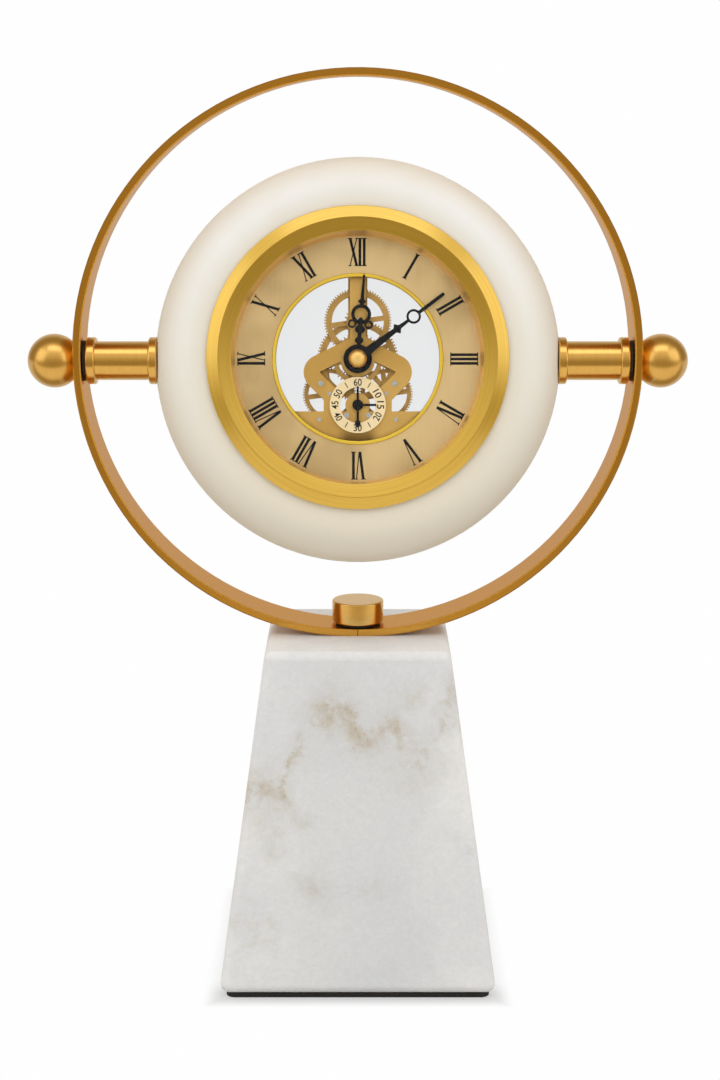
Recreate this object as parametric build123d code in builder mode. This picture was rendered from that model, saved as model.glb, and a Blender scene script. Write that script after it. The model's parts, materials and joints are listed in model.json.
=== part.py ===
from build123d import *
from math import atan2, cos, degrees, hypot, pi, radians, sin, sqrt
import os

# A desk clock: a see-through movement in a stone disc that tilts in a brass hoop on a marble base.
# Millimetres, +Z up. The front faces -Y, and the origin is the middle of the pad's underside.

os.makedirs("parts", exist_ok=True)

# Clearances, on the radius or on one side
RUN_CLEAR = 0.05
FIT_CLEAR = 0.02
SLIP_CLEAR = 0.4
BODY_GAP = 0.4

# Base
PAD_THICK = 2.2
PAD_INSET = 3.0
BASE_FOOT = 124.0
BASE_TOP = 82.0
BASE_HEIGHT = 152.5
BASE_EDGE = 4.0
ROD_DIA = 8.0
ROD_TAIL = 2.0
NUT_FLATS = 13.0
NUT_THICK = 6.5
BASE_WASHER_DIA = 24.0
BASE_WASHER_THICK = 2.0
RECESS_ROOM = 4.0

# Hoop, its cap nut and its side fittings
HOOP_OUTER_R = 126.0
HOOP_THICK = 3.5
HOOP_WIDTH = 24.0
HOOP_SEAT = 24.0
HOOP_BEVEL = 0.6
SEAM_WIDTH = 0.3
CAP_DIA = 23.5
CAP_HEIGHT = 10.0
CAP_WALL = 3.0
CAP_ROUND = 0.8
CAP_WASHER_DIA = 20.0
CAP_WASHER_THICK = 1.0
AXIS_DROP = 1.2
FINIAL_DIA = 24.0
FINIAL_FLAT_DIA = 14.6
STUD_DIA = 6.0
STUD_GRIP = 8.0
STUD_REACH = 13.0
SIDE_WASHER_DIA = 18.0
SIDE_WASHER_THICK = 1.2
SPINDLE_DIA = 17.3
FLANGE_DIA = 21.0
FLANGE_THICK = 4.2
FLANGE_ROUND = 1.0

# Stone disc, which leans back to face the reader
FACE_TILT = 10.0
DISC_R = 90.2
DISC_THICK = 44.0
SHOULDER = 18.0
SPOT_DEPTH = 1.6
BUSH_DIA = 9.0
BUSH_LENGTH = 15.0

# Case, glass, bezel and dial
CASE_R = 57.8
CASE_WALL = 1.8
LEDGE_WIDTH = 3.0
LEDGE_THICK = 1.2
GLASS_SINK = 1.0
GASKET_THICK = 0.6
GLASS_THICK = 2.0
BEZEL_R = 66.0
BEZEL_RIM = 1.6
BEZEL_RIDGE_R = 60.8
BEZEL_HEIGHT = 4.2
BEZEL_LIP_R = 55.0
BEZEL_LIP = 0.8
BEZEL_ROUND = 0.5
DIAL_DEPTH = 9.4
DIAL_THICK = 1.2
OPENING_R = 36.0
DIAL_RIM_WIDTH = 1.8
DIAL_RIM_HEIGHT = 0.7
REHAUT_WIDTH = 2.1
REAR_RING_R = 64.0
REAR_RING_THICK = 3.0
REAR_SPIGOT = 4.0
REAR_SPIGOT_WALL = 2.0
COVER_R = 60.0
COVER_THICK = 2.0
COVER_WALL = 1.8
COVER_SPIGOT = 4.0
COVER_ROOM = 1.5

# Movement plates
PLATE_THICK = 1.6
DIAL_POST = 2.4
PLATE_R = 52.5
PLATE_EDGE_Y = -22.9
COLUMN_WIDTH = 7.0
BACK_COLUMN_WIDTH = 8.6
COLUMN_TOP = 46.0
BOSS_R = 7.6
ARM_WIDTH = 7.3
ARM_ROOT = (0.0, 7.0)
ARM_ELBOW = (23.3, -4.5)
ARM_BEND = 4.2
LEG_WIDTH = 5.0
SECONDS_TAB_R = 5.5
PILLAR_R = 2.5
PILLAR_TIP_R = 1.2
DIAL_POST_R = 2.0
TOP_PILLAR_Y = 36.0
TOP_POST_Y = 42.0
LOW_PILLAR = (31.0, -34.0)
LOW_POST = (22.0, -37.0)
SCREW_HEAD_R = 1.2
HOUSING_HEAD_R = 0.9
SCREW_HEAD = 0.7
SCREW_R = 0.7
SCREW_SLOT = 0.35
SCREW_TURN = 30.0
HOUSING_SCREW_X = 17.0
SECONDS_SCREW = (4.9, 4.5)
ARM_SCREW = (16.3, -10.6)

# Wheels of the train: teeth, arbors and the places of the arbors on the face
WHEEL_THICK = 1.4
WHEEL_STEP = 2.0
FIRST_GAP = 0.4
BACK_ROOM = 1.2
UPPER_ARBOR_Y = 17.0
SECONDS_ARBOR_Y = -20.2
SIDE_ARBOR = (12.6, -15.0)
HOUR_TEETH = 40
HOUR_PINION_TEETH = 20
MINUTE_TEETH = 72
CANNON_TEETH = 12
CENTRE_TEETH = 80
THIRD_PINION_TEETH = 8
THIRD_TEETH = 60
SECONDS_PINION_TEETH = 10
ROTOR_TEETH = 10
TOOTH_TIP = 0.16
TOOTH_ROOT = 0.46
ADDENDUM = 0.75
DEDENDUM = 1.1
CENTRE_ARBOR_R = 1.2
PIPE_WALL = 1.1
ARBOR_R = 0.8
STUD_WHEEL_R = 1.0
ROTOR_R = 0.5
MAGNET_R = 1.6
MAGNET_THICK = 1.2
SPOKE_WIDTH = 2.2
SPOKE_TURN = 8.0
CENTRE_SPOKES = 5
SPOKES = 4
CENTRE_HUB_R = 4.0
HOUR_HUB_R = 4.6
MINUTE_HUB_R = 4.8
THIRD_HUB_R = 3.0
CENTRE_RIM = 2.6
HOUR_RIM = 2.0
MINUTE_RIM = 2.6
THIRD_RIM = 1.8

# Hands
SECONDS_POST = 1.6
SECONDS_DIAL_R = 12.4
SECONDS_DIAL_WIDTH = 4.6
SECONDS_DIAL_THICK = 0.8
SECONDS_POST_R = 0.9
SECONDS_HAND_GAP = 0.6
SECONDS_HAND_THICK = 0.6
SECONDS_HUB_R = 2.4
SECONDS_ARM = 8.2
SECONDS_ARM_WIDTH = 1.0
SECONDS_SPADE = (1.2, 1.68)
SECONDS_ARMS = 3
HAND_THICK = 0.7
HOUR_HAND_GAP = 0.7
MINUTE_HAND_GAP = 1.1
HOUR_ANGLE = 4.4
MINUTE_ANGLE = 53.1
HUB_R = 6.3
HOUR_LENGTH = 37.0
HOUR_STEM_WIDTH = 1.7
HOUR_LOW_BULB = (8.2, 1.9)
HOUR_HIGH_BULB = (12.9, 2.2)
BULB_SQUASH = 0.8
HOUR_RING = (19.6, 4.4)
HOUR_RING_WIDTH = 1.5
HOUR_CURL_R = 1.9
HOUR_ARROW = (12.9, 16.2)
HOUR_TOOTH = (16.2, 18.4)
HOUR_DIAMOND = (25.2, 1.9)
HOUR_TIP_WIDTH = 0.9
MINUTE_LENGTH = 47.5
MINUTE_ROOT_WIDTH = 4.4
MINUTE_NECK_WIDTH = 1.0
MINUTE_TIP_WIDTH = 1.5
MINUTE_KNOB = (21.7, 1.75)
MINUTE_COLLAR = (2.4, 0.95)
MINUTE_RING = (30.7, 3.2)
MINUTE_RING_WIDTH = 1.0
NUT_R = 4.1
NUT_HEIGHT = 3.5
NUT_DIMPLE_R = 0.6
KNOB_R = 6.0
KNOB_THICK = 6.0
KNOB_GAP = 1.4
KNOB_FLUTES = 18

# Motor and battery behind the lower half of the plates
HOUSING_WIDTH = 54.0
HOUSING_DEPTH = 21.0
HOUSING_EDGE_Y = -24.6
HOUSING_WALL = 1.0
HOUSING_GAP = 0.5
HOUSING_BOSS_R = 1.9
BOARD_WIDTH = 22.0
BOARD_THICK = 1.0
COIL_R = 1.5
COIL_LENGTH = 18.0
COIL_FLANGE_R = 1.9
COIL_FLANGE = 0.8
BATTERY_R = 7.25
BATTERY_LENGTH = 49.5
BATTERY_NUB_R = 2.7
BATTERY_NUB = 1.0
BATTERY_Y = -33.5
BATTERY_GAP = 0.1
HOLDER_WALL = 1.4
HOLDER_END = 2.0
CONTACT_THICK = 0.4
CONTACT_SIZE = 8.0

# Levels of the stand
BASE_TOP_Z = PAD_THICK + BASE_HEIGHT
RECESS_DEPTH = RECESS_ROOM + ROD_TAIL + NUT_THICK + BASE_WASHER_THICK
RECESS_Z = PAD_THICK + RECESS_DEPTH
BASE_NUT_Z = RECESS_Z - BASE_WASHER_THICK - NUT_THICK
ROD_HOLE_R = ROD_DIA / 2 + FIT_CLEAR
HOOP_INNER_R = HOOP_OUTER_R - HOOP_THICK
HOOP_Z = BASE_TOP_Z + sqrt(HOOP_OUTER_R**2 - (HOOP_SEAT / 2) ** 2)
CAP_SEAT_Z = HOOP_Z - sqrt(HOOP_INNER_R**2 - (CAP_WASHER_DIA / 2) ** 2) + FIT_CLEAR
CAP_Z = CAP_SEAT_Z + CAP_WASHER_THICK
ROD_TOP_Z = CAP_Z + CAP_HEIGHT - CAP_WALL
AXIS_Z = HOOP_Z - AXIS_DROP

# Places along the tilt axis, measured outwards from the middle
SPOT_X = DISC_R - SPOT_DEPTH
SPINDLE_X = SPOT_X + BODY_GAP
SIDE_WASHER_X = sqrt(HOOP_INNER_R**2 - (SIDE_WASHER_DIA / 2 + AXIS_DROP) ** 2)
SPINDLE_END_X = SIDE_WASHER_X - SIDE_WASHER_THICK
FINIAL_X = HOOP_OUTER_R + sqrt(FINIAL_DIA**2 - FINIAL_FLAT_DIA**2) / 2
SPOT_R = FLANGE_DIA / 2 + BODY_GAP
STUD_FIT_R = STUD_DIA / 2 + FIT_CLEAR

# Heights above the tilt axis, measured along the clock's own axis towards the reader
DISC_HALF = DISC_THICK / 2
DISC_BORE_R = CASE_R + SLIP_CLEAR
CASE_INNER_R = CASE_R - CASE_WALL
CASE_FRONT = DISC_HALF - GLASS_SINK
GLASS_REAR = CASE_FRONT + GASKET_THICK
GLASS_FRONT = GLASS_REAR + GLASS_THICK
DIAL_FRONT = GLASS_REAR - DIAL_DEPTH
DIAL_REAR = DIAL_FRONT - DIAL_THICK
PLATE_FRONT = DIAL_REAR - DIAL_POST
PLATE_REAR = PLATE_FRONT - PLATE_THICK
HOUR_WHEEL_H = PLATE_REAR - FIRST_GAP - WHEEL_THICK
MINUTE_WHEEL_H = HOUR_WHEEL_H - WHEEL_STEP
CENTRE_WHEEL_H = MINUTE_WHEEL_H - WHEEL_STEP
THIRD_WHEEL_H = CENTRE_WHEEL_H - WHEEL_STEP
BACK_FRONT = THIRD_WHEEL_H - BACK_ROOM
BACK_REAR = BACK_FRONT - PLATE_THICK
SECONDS_DIAL_H = PLATE_FRONT + SECONDS_POST
SECONDS_HAND_H = SECONDS_DIAL_H + SECONDS_DIAL_THICK + SECONDS_HAND_GAP
HOUR_HAND_H = DIAL_FRONT + DIAL_RIM_HEIGHT + HOUR_HAND_GAP
MINUTE_HAND_H = HOUR_HAND_H + HAND_THICK + MINUTE_HAND_GAP
NUT_H = MINUTE_HAND_H + HAND_THICK
KNOB_FRONT = BACK_REAR - KNOB_GAP
KNOB_REAR = KNOB_FRONT - KNOB_THICK
HOUSING_H = THIRD_WHEEL_H + WHEEL_THICK + HOUSING_GAP
BATTERY_H = BACK_REAR - HOLDER_WALL - BATTERY_GAP - BATTERY_R
RING_REAR = -DISC_HALF - REAR_RING_THICK
RING_BORE_R = CASE_INNER_R - FIT_CLEAR - REAR_SPIGOT_WALL
COVER_INNER = min(RING_REAR - RUN_CLEAR, BATTERY_H - BATTERY_R - COVER_ROOM)

# Arbor places on the face, and the radii of what turns in what
UPPER_ARBOR = (0, UPPER_ARBOR_Y)
SECONDS_ARBOR = (0, SECONDS_ARBOR_Y)
THIRD_ARBOR = SIDE_ARBOR
DRIVE_ARBOR = (-SIDE_ARBOR[0], SIDE_ARBOR[1])
THIRD_REACH = hypot(SIDE_ARBOR[0], SIDE_ARBOR[1] - SECONDS_ARBOR_Y)
ROTOR_ARBOR = (DRIVE_ARBOR[0], DRIVE_ARBOR[1] - THIRD_REACH)
PIPE_BORE_R = CENTRE_ARBOR_R + RUN_CLEAR
PIPE_R = PIPE_BORE_R + PIPE_WALL

# Modules of the meshing pairs, from the distance between their arbors
HOUR_MODULE = 2 * UPPER_ARBOR_Y / (HOUR_TEETH + HOUR_PINION_TEETH)
MINUTE_MODULE = 2 * UPPER_ARBOR_Y / (MINUTE_TEETH + CANNON_TEETH)
CENTRE_MODULE = 2 * hypot(*SIDE_ARBOR) / (CENTRE_TEETH + THIRD_PINION_TEETH)
THIRD_MODULE = 2 * THIRD_REACH / (THIRD_TEETH + SECONDS_PINION_TEETH)

# Planes and axes of the tilting head
FACE = Plane(
    origin=(0, 0, AXIS_Z),
    x_dir=(1, 0, 0),
    z_dir=(0, -cos(radians(FACE_TILT)), sin(radians(FACE_TILT))),
)
FACE_AXIS = Axis(FACE.origin, FACE.z_dir)
SECTION = Plane(origin=FACE.origin, x_dir=FACE.x_dir, z_dir=-FACE.y_dir)
TILT_AXIS = Axis((0, 0, AXIS_Z), (1, 0, 0))
TILT_SECTION = Plane(origin=(0, 0, AXIS_Z), x_dir=(1, 0, 0), z_dir=(0, -1, 0))


def face_plane(point, height, turn=0):
    """A plane parallel to the dial, centred on a point of the face and turned clockwise."""
    origin = FACE.from_local_coords((point[0], point[1], height))
    right = FACE.x_dir * cos(radians(turn)) - FACE.y_dir * sin(radians(turn))
    return Plane(origin=origin, x_dir=right, z_dir=FACE.z_dir)


def side_plane(side, reach):
    """A plane across the tilt axis that looks outwards on one side of the clock."""
    return Plane(origin=(side * reach, 0, AXIS_Z), x_dir=(0, side, 0), z_dir=(side, 0, 0))


def mirrored(point):
    """A point of the face on the right and its twin on the left."""
    return [(point[0], point[1]), (-point[0], point[1])]


def bearing(start, end):
    """The direction from one arbor to another, in degrees from the face's right."""
    return degrees(atan2(end[1] - start[1], end[0] - start[0]))


def meshing_phase(phase, teeth, direction, other_teeth):
    """The phase that puts the other wheel's gap on this wheel's tooth along the line of centres."""
    return direction + 180 + 180 / other_teeth + (direction - phase) * teeth / other_teeth


def toothed_outline(teeth, module, phase):
    """Points round a wheel of straight-sided teeth, with one tooth's middle at the phase angle."""
    pitch = 2 * pi / teeth
    root_r = module * (teeth / 2 - DEDENDUM)
    tip_r = module * (teeth / 2 + ADDENDUM)
    shape = [(root_r, -TOOTH_ROOT), (tip_r, -TOOTH_TIP), (tip_r, TOOTH_TIP), (root_r, TOOTH_ROOT)]
    points = []
    for tooth in range(teeth):
        for radius, share in shape:
            angle = radians(phase) + pitch * (tooth + share / 2)
            points.append((radius * cos(angle), radius * sin(angle)))
    return points


def spoked_wheel(teeth, module, phase, bore_r, hub_r, spokes, rim_width):
    """The flat shape of a crossed-out wheel: toothed rim, straight spokes, hub and bore."""
    window_r = module * (teeth / 2 - DEDENDUM) - rim_width
    with BuildSketch() as wheel:
        Polygon(*toothed_outline(teeth, module, phase), align=None)
        Circle(window_r, mode=Mode.SUBTRACT)
        Circle(hub_r)
        with PolarLocations(0, spokes, start_angle=90 + SPOKE_TURN):
            Rectangle(window_r + rim_width / 2, SPOKE_WIDTH, align=(Align.MIN, Align.CENTER))
        Circle(bore_r, mode=Mode.SUBTRACT)
    return wheel.sketch


def finish(piece, name):
    """Names a finished piece and writes its file."""
    piece.part.label = name
    export_step(piece.part, f"parts/{name}.step")


# Phases of the wheels, each in mesh with the one before it
CENTRE_PHASE = 0.0
THIRD_BEARING = bearing((0, 0), THIRD_ARBOR)
THIRD_PINION_PHASE = meshing_phase(CENTRE_PHASE, CENTRE_TEETH, THIRD_BEARING, THIRD_PINION_TEETH)
THIRD_PHASE = 0.0
SECONDS_PHASE = meshing_phase(
    THIRD_PHASE, THIRD_TEETH, bearing(THIRD_ARBOR, SECONDS_ARBOR), SECONDS_PINION_TEETH
)
DRIVE_PHASE = meshing_phase(
    SECONDS_PHASE, SECONDS_PINION_TEETH, bearing(SECONDS_ARBOR, DRIVE_ARBOR), THIRD_TEETH
)
ROTOR_PHASE = meshing_phase(DRIVE_PHASE, THIRD_TEETH, bearing(DRIVE_ARBOR, ROTOR_ARBOR), ROTOR_TEETH)
CANNON_PHASE = 0.0
MINUTE_PHASE = meshing_phase(CANNON_PHASE, CANNON_TEETH, bearing((0, 0), UPPER_ARBOR), MINUTE_TEETH)
HOUR_PINION_PHASE = 0.0
HOUR_PHASE = meshing_phase(HOUR_PINION_PHASE, HOUR_PINION_TEETH, bearing(UPPER_ARBOR, (0, 0)), HOUR_TEETH)

# Rubber pad under the base
with BuildPart() as base_pad:
    with BuildSketch():
        RectangleRounded(BASE_FOOT - 2 * PAD_INSET, BASE_FOOT - 2 * PAD_INSET, BASE_EDGE)
    extrude(amount=PAD_THICK)
finish(base_pad, "base_pad")

# Tapered marble block, drilled for the rod, with a recess for nut and washer below
with BuildPart() as marble_base:
    with BuildSketch(Plane.XY.offset(PAD_THICK)):
        Rectangle(BASE_FOOT, BASE_FOOT)
    with BuildSketch(Plane.XY.offset(BASE_TOP_Z)):
        Rectangle(BASE_TOP, BASE_TOP)
    loft()
    fillet(marble_base.edges(), BASE_EDGE)
    with BuildSketch(Plane.XY.offset(PAD_THICK)):
        Circle(BASE_WASHER_DIA / 2 + SLIP_CLEAR)
    extrude(amount=RECESS_DEPTH, mode=Mode.SUBTRACT)
    with BuildSketch(Plane.XY.offset(PAD_THICK)):
        Circle(ROD_HOLE_R)
    extrude(amount=BASE_HEIGHT, mode=Mode.SUBTRACT)
finish(marble_base, "marble_base")

# Rod, washer and nut that clamp the hoop to the base
with BuildPart() as base_rod:
    with BuildSketch(Plane.XY.offset(BASE_NUT_Z - ROD_TAIL)):
        Circle(ROD_DIA / 2)
    extrude(amount=ROD_TOP_Z - BASE_NUT_Z + ROD_TAIL)
finish(base_rod, "base_rod")

with BuildPart() as base_washer:
    with BuildSketch(Plane.XY.offset(RECESS_Z)):
        Circle(BASE_WASHER_DIA / 2)
        Circle(ROD_HOLE_R, mode=Mode.SUBTRACT)
    extrude(amount=-BASE_WASHER_THICK)
finish(base_washer, "base_washer")

with BuildPart() as base_nut:
    with BuildSketch(Plane.XY.offset(BASE_NUT_Z)):
        RegularPolygon(NUT_FLATS / 2, 6, major_radius=False)
        Circle(ROD_HOLE_R, mode=Mode.SUBTRACT)
    extrude(amount=NUT_THICK)
finish(base_nut, "base_nut")

# Hoop: a flat band rolled round, with bevelled edges, a flat seat and a butt seam at the bottom
with BuildPart() as hoop:
    with BuildSketch(Plane.XY.offset(HOOP_Z)) as band:
        with Locations((HOOP_INNER_R, 0)):
            Rectangle(HOOP_THICK, HOOP_WIDTH, align=(Align.MIN, Align.CENTER))
        chamfer(band.vertices(), HOOP_BEVEL)
    revolve(axis=Axis((0, 0, HOOP_Z), (0, 1, 0)))
    with BuildSketch(Plane.XY.offset(BASE_TOP_Z)):
        Rectangle(2 * HOOP_OUTER_R, HOOP_WIDTH)
    extrude(amount=-HOOP_THICK, mode=Mode.SUBTRACT)
    with BuildSketch(Plane.XY.offset(BASE_TOP_Z)):
        Circle(ROD_HOLE_R)
        Rectangle(SEAM_WIDTH, HOOP_WIDTH)
    extrude(amount=HOOP_THICK, mode=Mode.SUBTRACT)
    for side in (-1, 1):
        with BuildSketch(side_plane(side, HOOP_INNER_R - HOOP_THICK)):
            Circle(STUD_FIT_R)
        extrude(amount=2 * HOOP_THICK, mode=Mode.SUBTRACT)
finish(hoop, "hoop")

# Dark washer and brass cap nut inside the hoop
with BuildPart() as cap_washer:
    with BuildSketch(Plane.XY.offset(CAP_SEAT_Z)):
        Circle(CAP_WASHER_DIA / 2)
        Circle(ROD_HOLE_R, mode=Mode.SUBTRACT)
    extrude(amount=CAP_WASHER_THICK)
finish(cap_washer, "cap_washer")

with BuildPart() as cap_nut:
    with BuildSketch(Plane.XY.offset(CAP_Z)):
        Circle(CAP_DIA / 2)
    extrude(amount=CAP_HEIGHT)
    fillet(cap_nut.edges().filter_by(GeomType.CIRCLE), CAP_ROUND)
    with BuildSketch(Plane.XY.offset(CAP_Z)):
        Circle(ROD_HOLE_R)
    extrude(amount=ROD_TOP_Z - CAP_Z + FIT_CLEAR, mode=Mode.SUBTRACT)
finish(cap_nut, "cap_nut")

# Ball, washer, spindle, stud and bush on each side
for name, side in (("left", -1), ("right", 1)):
    with BuildPart() as finial:
        with BuildSketch(TILT_SECTION):
            with Locations((side * FINIAL_X, 0)):
                Circle(FINIAL_DIA / 2)
                Rectangle(FINIAL_DIA, FINIAL_DIA, align=(Align.CENTER, Align.MAX), mode=Mode.SUBTRACT)
        revolve(axis=TILT_AXIS)
        with BuildSketch(side_plane(side, HOOP_OUTER_R)):
            Circle(FINIAL_DIA)
        extrude(amount=-FINIAL_DIA, mode=Mode.SUBTRACT)
        with BuildSketch(side_plane(side, HOOP_OUTER_R)):
            Circle(STUD_FIT_R)
        extrude(amount=STUD_GRIP + FIT_CLEAR, mode=Mode.SUBTRACT)
    finish(finial, f"{name}_finial")

    with BuildPart() as washer:
        with BuildSketch(side_plane(side, SPINDLE_END_X)):
            Circle(SIDE_WASHER_DIA / 2)
            Circle(STUD_FIT_R, mode=Mode.SUBTRACT)
        extrude(amount=SIDE_WASHER_THICK)
    finish(washer, f"{name}_washer")

    with BuildPart() as spindle:
        with BuildSketch(side_plane(side, SPINDLE_X)):
            Circle(SPINDLE_DIA / 2)
        extrude(amount=SPINDLE_END_X - SPINDLE_X)
        for start in (SPINDLE_X, SPINDLE_END_X - FLANGE_THICK):
            with BuildSketch(side_plane(side, start)):
                Circle(FLANGE_DIA / 2)
            extrude(amount=FLANGE_THICK)
        rims = spindle.edges().filter_by(GeomType.CIRCLE).sort_by(SortBy.RADIUS)[-4:]
        fillet(rims, FLANGE_ROUND)
        with BuildSketch(side_plane(side, SPINDLE_X)):
            Circle(STUD_FIT_R)
        extrude(amount=SPINDLE_END_X - SPINDLE_X, mode=Mode.SUBTRACT)
    finish(spindle, f"{name}_spindle")

    with BuildPart() as stud:
        with BuildSketch(side_plane(side, SPOT_X - STUD_REACH)):
            Circle(STUD_DIA / 2)
        extrude(amount=HOOP_OUTER_R + STUD_GRIP - SPOT_X + STUD_REACH)
    finish(stud, f"{name}_stud")

    with BuildPart() as bush:
        with BuildSketch(side_plane(side, SPOT_X)):
            Circle(BUSH_DIA / 2)
            Circle(STUD_DIA / 2 + RUN_CLEAR, mode=Mode.SUBTRACT)
        extrude(amount=-BUSH_LENGTH)
    finish(bush, f"{name}_bush")

# Stone disc with a rounded rim, a bore for the case and a spot face and hole for each pivot
with BuildPart() as stone_disc:
    with BuildSketch(SECTION):
        with BuildLine():
            Polyline(
                (DISC_R - SHOULDER, -DISC_HALF),
                (DISC_BORE_R, -DISC_HALF),
                (DISC_BORE_R, DISC_HALF),
                (DISC_R - SHOULDER, DISC_HALF),
            )
            EllipticalCenterArc((DISC_R - SHOULDER, 0), SHOULDER, DISC_HALF, start_angle=-90, arc_size=180)
        make_face()
    revolve(axis=FACE_AXIS)
    for side in (-1, 1):
        with BuildSketch(side_plane(side, SPOT_X)):
            Circle(SPOT_R)
        extrude(amount=2 * SPOT_DEPTH, mode=Mode.SUBTRACT)
        with BuildSketch(side_plane(side, SPOT_X)):
            Circle(BUSH_DIA / 2 + FIT_CLEAR)
        extrude(amount=-BUSH_LENGTH - BODY_GAP, mode=Mode.SUBTRACT)
finish(stone_disc, "stone_disc")

# Case tube with the ledge that the dial lies on
with BuildPart() as case_tube:
    with BuildSketch(SECTION):
        Polygon(
            (CASE_INNER_R, -DISC_HALF),
            (CASE_R, -DISC_HALF),
            (CASE_R, CASE_FRONT),
            (CASE_INNER_R, CASE_FRONT),
            (CASE_INNER_R, DIAL_REAR),
            (CASE_INNER_R - LEDGE_WIDTH, DIAL_REAR),
            (CASE_INNER_R - LEDGE_WIDTH, DIAL_REAR - LEDGE_THICK),
            (CASE_INNER_R, DIAL_REAR - LEDGE_THICK),
            align=None,
        )
    revolve(axis=FACE_AXIS)
finish(case_tube, "case_tube")

# Gasket, glass and ridged bezel on the front of the case
with BuildPart() as glass_gasket:
    with BuildSketch(FACE.offset(CASE_FRONT)):
        Circle(CASE_R)
        Circle(CASE_INNER_R, mode=Mode.SUBTRACT)
    extrude(amount=GASKET_THICK)
finish(glass_gasket, "glass_gasket")

with BuildPart() as front_glass:
    with BuildSketch(FACE.offset(GLASS_REAR)):
        Circle(CASE_R)
    extrude(amount=GLASS_THICK)
finish(front_glass, "front_glass")

with BuildPart() as bezel:
    with BuildSketch(SECTION):
        Polygon(
            (DISC_BORE_R, DISC_HALF),
            (BEZEL_R, DISC_HALF),
            (BEZEL_R, DISC_HALF + BEZEL_RIM),
            (BEZEL_RIDGE_R, DISC_HALF + BEZEL_HEIGHT),
            (BEZEL_LIP_R, GLASS_FRONT + BEZEL_LIP),
            (BEZEL_LIP_R, GLASS_FRONT),
            (DISC_BORE_R, GLASS_FRONT),
            align=None,
        )
    revolve(axis=FACE_AXIS)
    fillet(bezel.edges().sort_by(FACE_AXIS)[-1], BEZEL_ROUND)
finish(bezel, "bezel")

# Sloping inner ring, dial ring and the polished rim of its opening
with BuildPart() as rehaut:
    with BuildSketch(SECTION):
        Polygon(
            (CASE_INNER_R - FIT_CLEAR, DIAL_FRONT),
            (CASE_INNER_R - FIT_CLEAR, CASE_FRONT),
            (CASE_INNER_R - REHAUT_WIDTH / 4, CASE_FRONT),
            (CASE_INNER_R - REHAUT_WIDTH, DIAL_FRONT),
            align=None,
        )
    revolve(axis=FACE_AXIS)
finish(rehaut, "rehaut")

with BuildPart() as dial_ring:
    with BuildSketch(FACE.offset(DIAL_REAR)):
        Circle(CASE_INNER_R - FIT_CLEAR)
        Circle(OPENING_R, mode=Mode.SUBTRACT)
    extrude(amount=DIAL_THICK)
finish(dial_ring, "dial_ring")

with BuildPart() as dial_rim:
    with BuildSketch(FACE.offset(DIAL_FRONT)):
        Circle(OPENING_R + DIAL_RIM_WIDTH)
        Circle(OPENING_R, mode=Mode.SUBTRACT)
    extrude(amount=DIAL_RIM_HEIGHT)
    chamfer(dial_rim.faces().sort_by(FACE_AXIS)[-1].edges(), DIAL_RIM_HEIGHT / 2)
finish(dial_rim, "dial_rim")

# Ring that clamps the case from behind, and the clear cover pushed into it
with BuildPart() as rear_ring:
    with BuildSketch(SECTION):
        Polygon(
            (RING_BORE_R, RING_REAR),
            (REAR_RING_R, RING_REAR),
            (REAR_RING_R, -DISC_HALF),
            (CASE_INNER_R - FIT_CLEAR, -DISC_HALF),
            (CASE_INNER_R - FIT_CLEAR, -DISC_HALF + REAR_SPIGOT),
            (RING_BORE_R, -DISC_HALF + REAR_SPIGOT),
            align=None,
        )
    revolve(axis=FACE_AXIS)
    chamfer(rear_ring.edges().filter_by(GeomType.CIRCLE).sort_by(SortBy.RADIUS)[-2:], BEZEL_ROUND)
finish(rear_ring, "rear_ring")

with BuildPart() as dust_cover:
    with BuildSketch(FACE.offset(COVER_INNER)):
        Circle(COVER_R)
    extrude(amount=-COVER_THICK)
    fillet(dust_cover.edges().filter_by(GeomType.CIRCLE), BEZEL_ROUND)
    with BuildSketch(FACE.offset(COVER_INNER)):
        Circle(RING_BORE_R - RUN_CLEAR)
        Circle(RING_BORE_R - RUN_CLEAR - COVER_WALL, mode=Mode.SUBTRACT)
    extrude(amount=RING_REAR - COVER_INNER + COVER_SPIGOT)
finish(dust_cover, "dust_cover")

# Centre lines of the plates' curved arms
arms = [
    FilletPolyline(root, elbow, foot, radius=ARM_BEND)
    for root, elbow, foot in zip(mirrored(ARM_ROOT), mirrored(ARM_ELBOW), mirrored(SIDE_ARBOR))
]
LEG_LENGTH = SIDE_ARBOR[1] - PLATE_EDGE_Y + LEG_WIDTH / 2
SIDE_LEGS = mirrored((SIDE_ARBOR[0], SIDE_ARBOR[1] - LEG_LENGTH / 2))
PILLARS = [(0, TOP_PILLAR_Y)] + mirrored(LOW_PILLAR)
DIAL_POSTS = [(0, TOP_POST_Y)] + mirrored(LOW_POST)
SECONDS_POSTS = mirrored((SECONDS_DIAL_R - SECONDS_POST_R - BODY_GAP, SECONDS_ARBOR_Y))
HOUSING_SCREWS = mirrored((HOUSING_SCREW_X, HOUSING_EDGE_Y - HOUSING_BOSS_R))
SECONDS_SCREWS = mirrored((SECONDS_SCREW[0], SECONDS_ARBOR_Y - SECONDS_SCREW[1]))
SHORT_SCREWS = SECONDS_SCREWS + mirrored(ARM_SCREW)
SIDE_ARBORS = mirrored(SIDE_ARBOR)

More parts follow.
